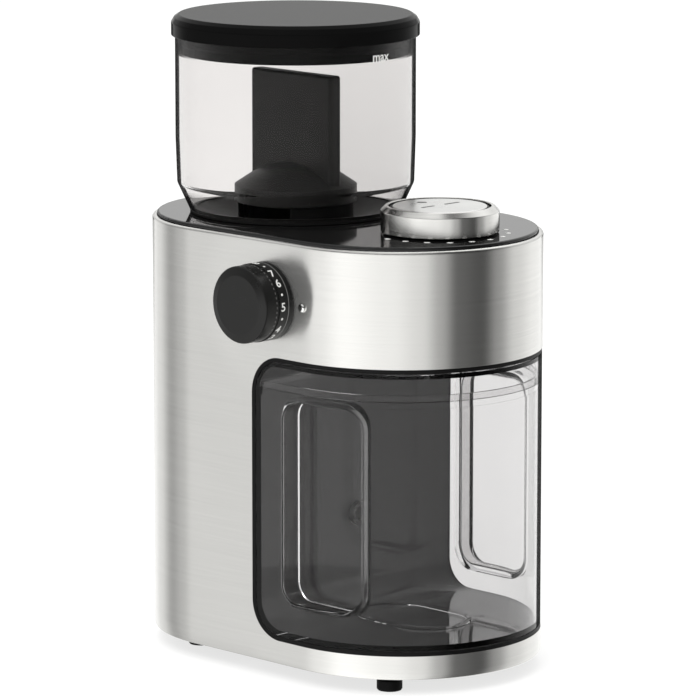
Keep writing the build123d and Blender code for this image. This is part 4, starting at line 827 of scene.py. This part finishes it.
# Brightness of the studio walls round the compass, in degrees from +X.
WALLS = [
    (0, 1.03),
    (30, 1.12),
    (60, 1.10),
    (84, 0.85),
    (106, 0.42),
    (122, 0.60),
    (135, 0.86),
    (150, 1.08),
    (175, 1.42),
    (215, 1.22),
    (240, 0.98),
    (256, 0.54),
    (270, 0.15),
    (294, 0.085),
    (310, 0.36),
    (330, 0.78),
    (360, 1.03),
]

world = bpy.data.worlds.new("studio")
world.use_nodes = True
scene.world = world
sky = world.node_tree
sky.nodes.clear()


def sky_node(kind, inputs=(), **settings):
    """A node of the world, whose inputs are values or other nodes' outputs."""
    made = sky.nodes.new(kind)
    for key, value in settings.items():
        setattr(made, key, value)
    for key, value in dict(inputs).items():
        if isinstance(value, bpy.types.NodeSocket):
            sky.links.new(value, made.inputs[key])
        else:
            made.inputs[key].default_value = value
    return made


def sky_range(value, first, last, low, high, smooth=True):
    """A value moved from one range to another."""
    inputs = {"Value": value, "From Min": first, "From Max": last, "To Min": low, "To Max": high}
    kind = "SMOOTHSTEP" if smooth else "LINEAR"
    return sky_node("ShaderNodeMapRange", inputs, interpolation_type=kind).outputs["Result"]


def sky_maths(operation, first, second):
    """A sum on two numbers."""
    return sky_node("ShaderNodeMath", {0: first, 1: second}, operation=operation).outputs[0]


def sky_walls(compass):
    """The brightness of the walls round the compass."""
    lap = sky_node("ShaderNodeMath", {0: compass, 1: 1.0, 2: 0.0}, operation="WRAP")
    made = sky_node("ShaderNodeValToRGB", {0: lap.outputs[0]})
    ramp = made.color_ramp
    ramp.interpolation = "EASE"
    while len(ramp.elements) > 1:
        ramp.elements.remove(ramp.elements[-1])
    ramp.elements[0].position = 0.0
    for index, (degrees, bright) in enumerate(WALLS):
        stop = ramp.elements[0] if index == 0 else ramp.elements.new(degrees / 360)
        stop.color = (bright, bright, bright * 0.99, 1.0)
    return made.outputs[0]


way = sky_node("ShaderNodeSeparateXYZ", {0: sky_node("ShaderNodeTexCoord").outputs["Generated"]})
way_x, way_y, way_z = way.outputs
compass = sky_maths("DIVIDE", sky_maths("ARCTAN2", way_y, way_x), 2 * math.pi)

# How far a direction points to the rear right of the grinder, from -1 to 1.
rearward = sky_maths("MULTIPLY", sky_maths("ADD", way_x, way_y), math.sqrt(0.5))
low_part = sky_range(way_z, -0.03, 0.14, 1.0, 0.0)
above = sky_range(rearward, -0.4, 0.5, 0.10, 0.80)
above = sky_maths("MULTIPLY", above, sky_range(way_z, 0.10, 0.15, 0.35, 1.0))
high_part = sky_maths("MULTIPLY", above, sky_maths("SUBTRACT", 1.0, low_part))
zenith = sky_range(way_z, 0.35, 0.8, 0.0, 0.5)
level = sky_maths("ADD", sky_maths("ADD", low_part, high_part), zenith)

# A dark card low down at the rear right.
card_low = sky_range(way_z, -0.165, -0.145, 0.0, 1.0)
card_high = sky_range(way_z, -0.05, -0.02, 1.0, 0.0)
card_side = sky_range(rearward, 0.90, 0.93, 0.0, 1.0)
card = sky_maths("MULTIPLY", card_side, sky_maths("MULTIPLY", card_low, card_high))
level = sky_maths("MULTIPLY", level, sky_maths("SUBTRACT", 1.0, sky_maths("MULTIPLY", card, 0.97)))

# Reflections of reflections are dimmer, and so is what is reflected inside clear walls.
path = sky_node("ShaderNodeLightPath").outputs
second = sky_range(way_z, -0.1, 0.1, 0.9, 0.1)
again = sky_range(path["Glossy Depth"], 1.0, 2.0, 1.0, second, smooth=False)
inside = sky_range(path["Glossy Depth"], 0.0, 1.0, 1.0, 0.75, smooth=False)
level = sky_maths("MULTIPLY", level, again)
not_through = sky_maths("SUBTRACT", 1.0, path["Is Transmission Ray"])
mirrored = sky_maths("MULTIPLY", path["Is Glossy Ray"], not_through)
plain = sky_node("ShaderNodeBackground", {"Color": (1.0, 1.0, 1.0, 1.0), "Strength": inside})
striped = sky_node("ShaderNodeBackground", {"Color": sky_walls(compass), "Strength": level})
mixed = sky_node("ShaderNodeMixShader", {0: mirrored, 1: plain.outputs[0], 2: striped.outputs[0]})
sky_node("ShaderNodeOutputWorld", {"Surface": mixed.outputs[0]})


def lamp(name, place, aim, width, power):
    """A square soft lamp that mirrors don't show."""
    data = bpy.data.lights.new(name, "AREA")
    data.shape = "RECTANGLE"
    data.size, data.size_y = width, width
    data.energy = power
    made = bpy.data.objects.new(name, data)
    made.location = place
    made.rotation_euler = (Vector(aim) - Vector(place)).to_track_quat("-Z", "Y").to_euler()
    made.visible_glossy = False
    scene.collection.objects.link(made)


centre = (cad_box[0] + cad_box[1]) / 2
lamp("key", (-1.6, -0.6, 1.9), centre, 1.0, 18.0)
lamp("top", (0.1, 0.3, 2.2), centre, 1.6, 16.0)

# ------------------------------------------------------------------ camera
# The eye, the point it looks at and the lens follow the photograph's viewing angle.
EYE = Vector((-1.42415, -1.4379, 0.4989))
LOOK = Vector((0.00835, -0.0054, 0.12944))
lens = bpy.data.cameras.new("camera")
lens.sensor_width = 36.0
lens.lens = 254.1
camera = bpy.data.objects.new("camera", lens)
camera.location = EYE
camera.rotation_euler = (LOOK - EYE).to_track_quat("-Z", "Y").to_euler()
scene.collection.objects.link(camera)
scene.camera = camera
scene.view_settings.view_transform = "Standard"
scene.view_settings.look = "None"
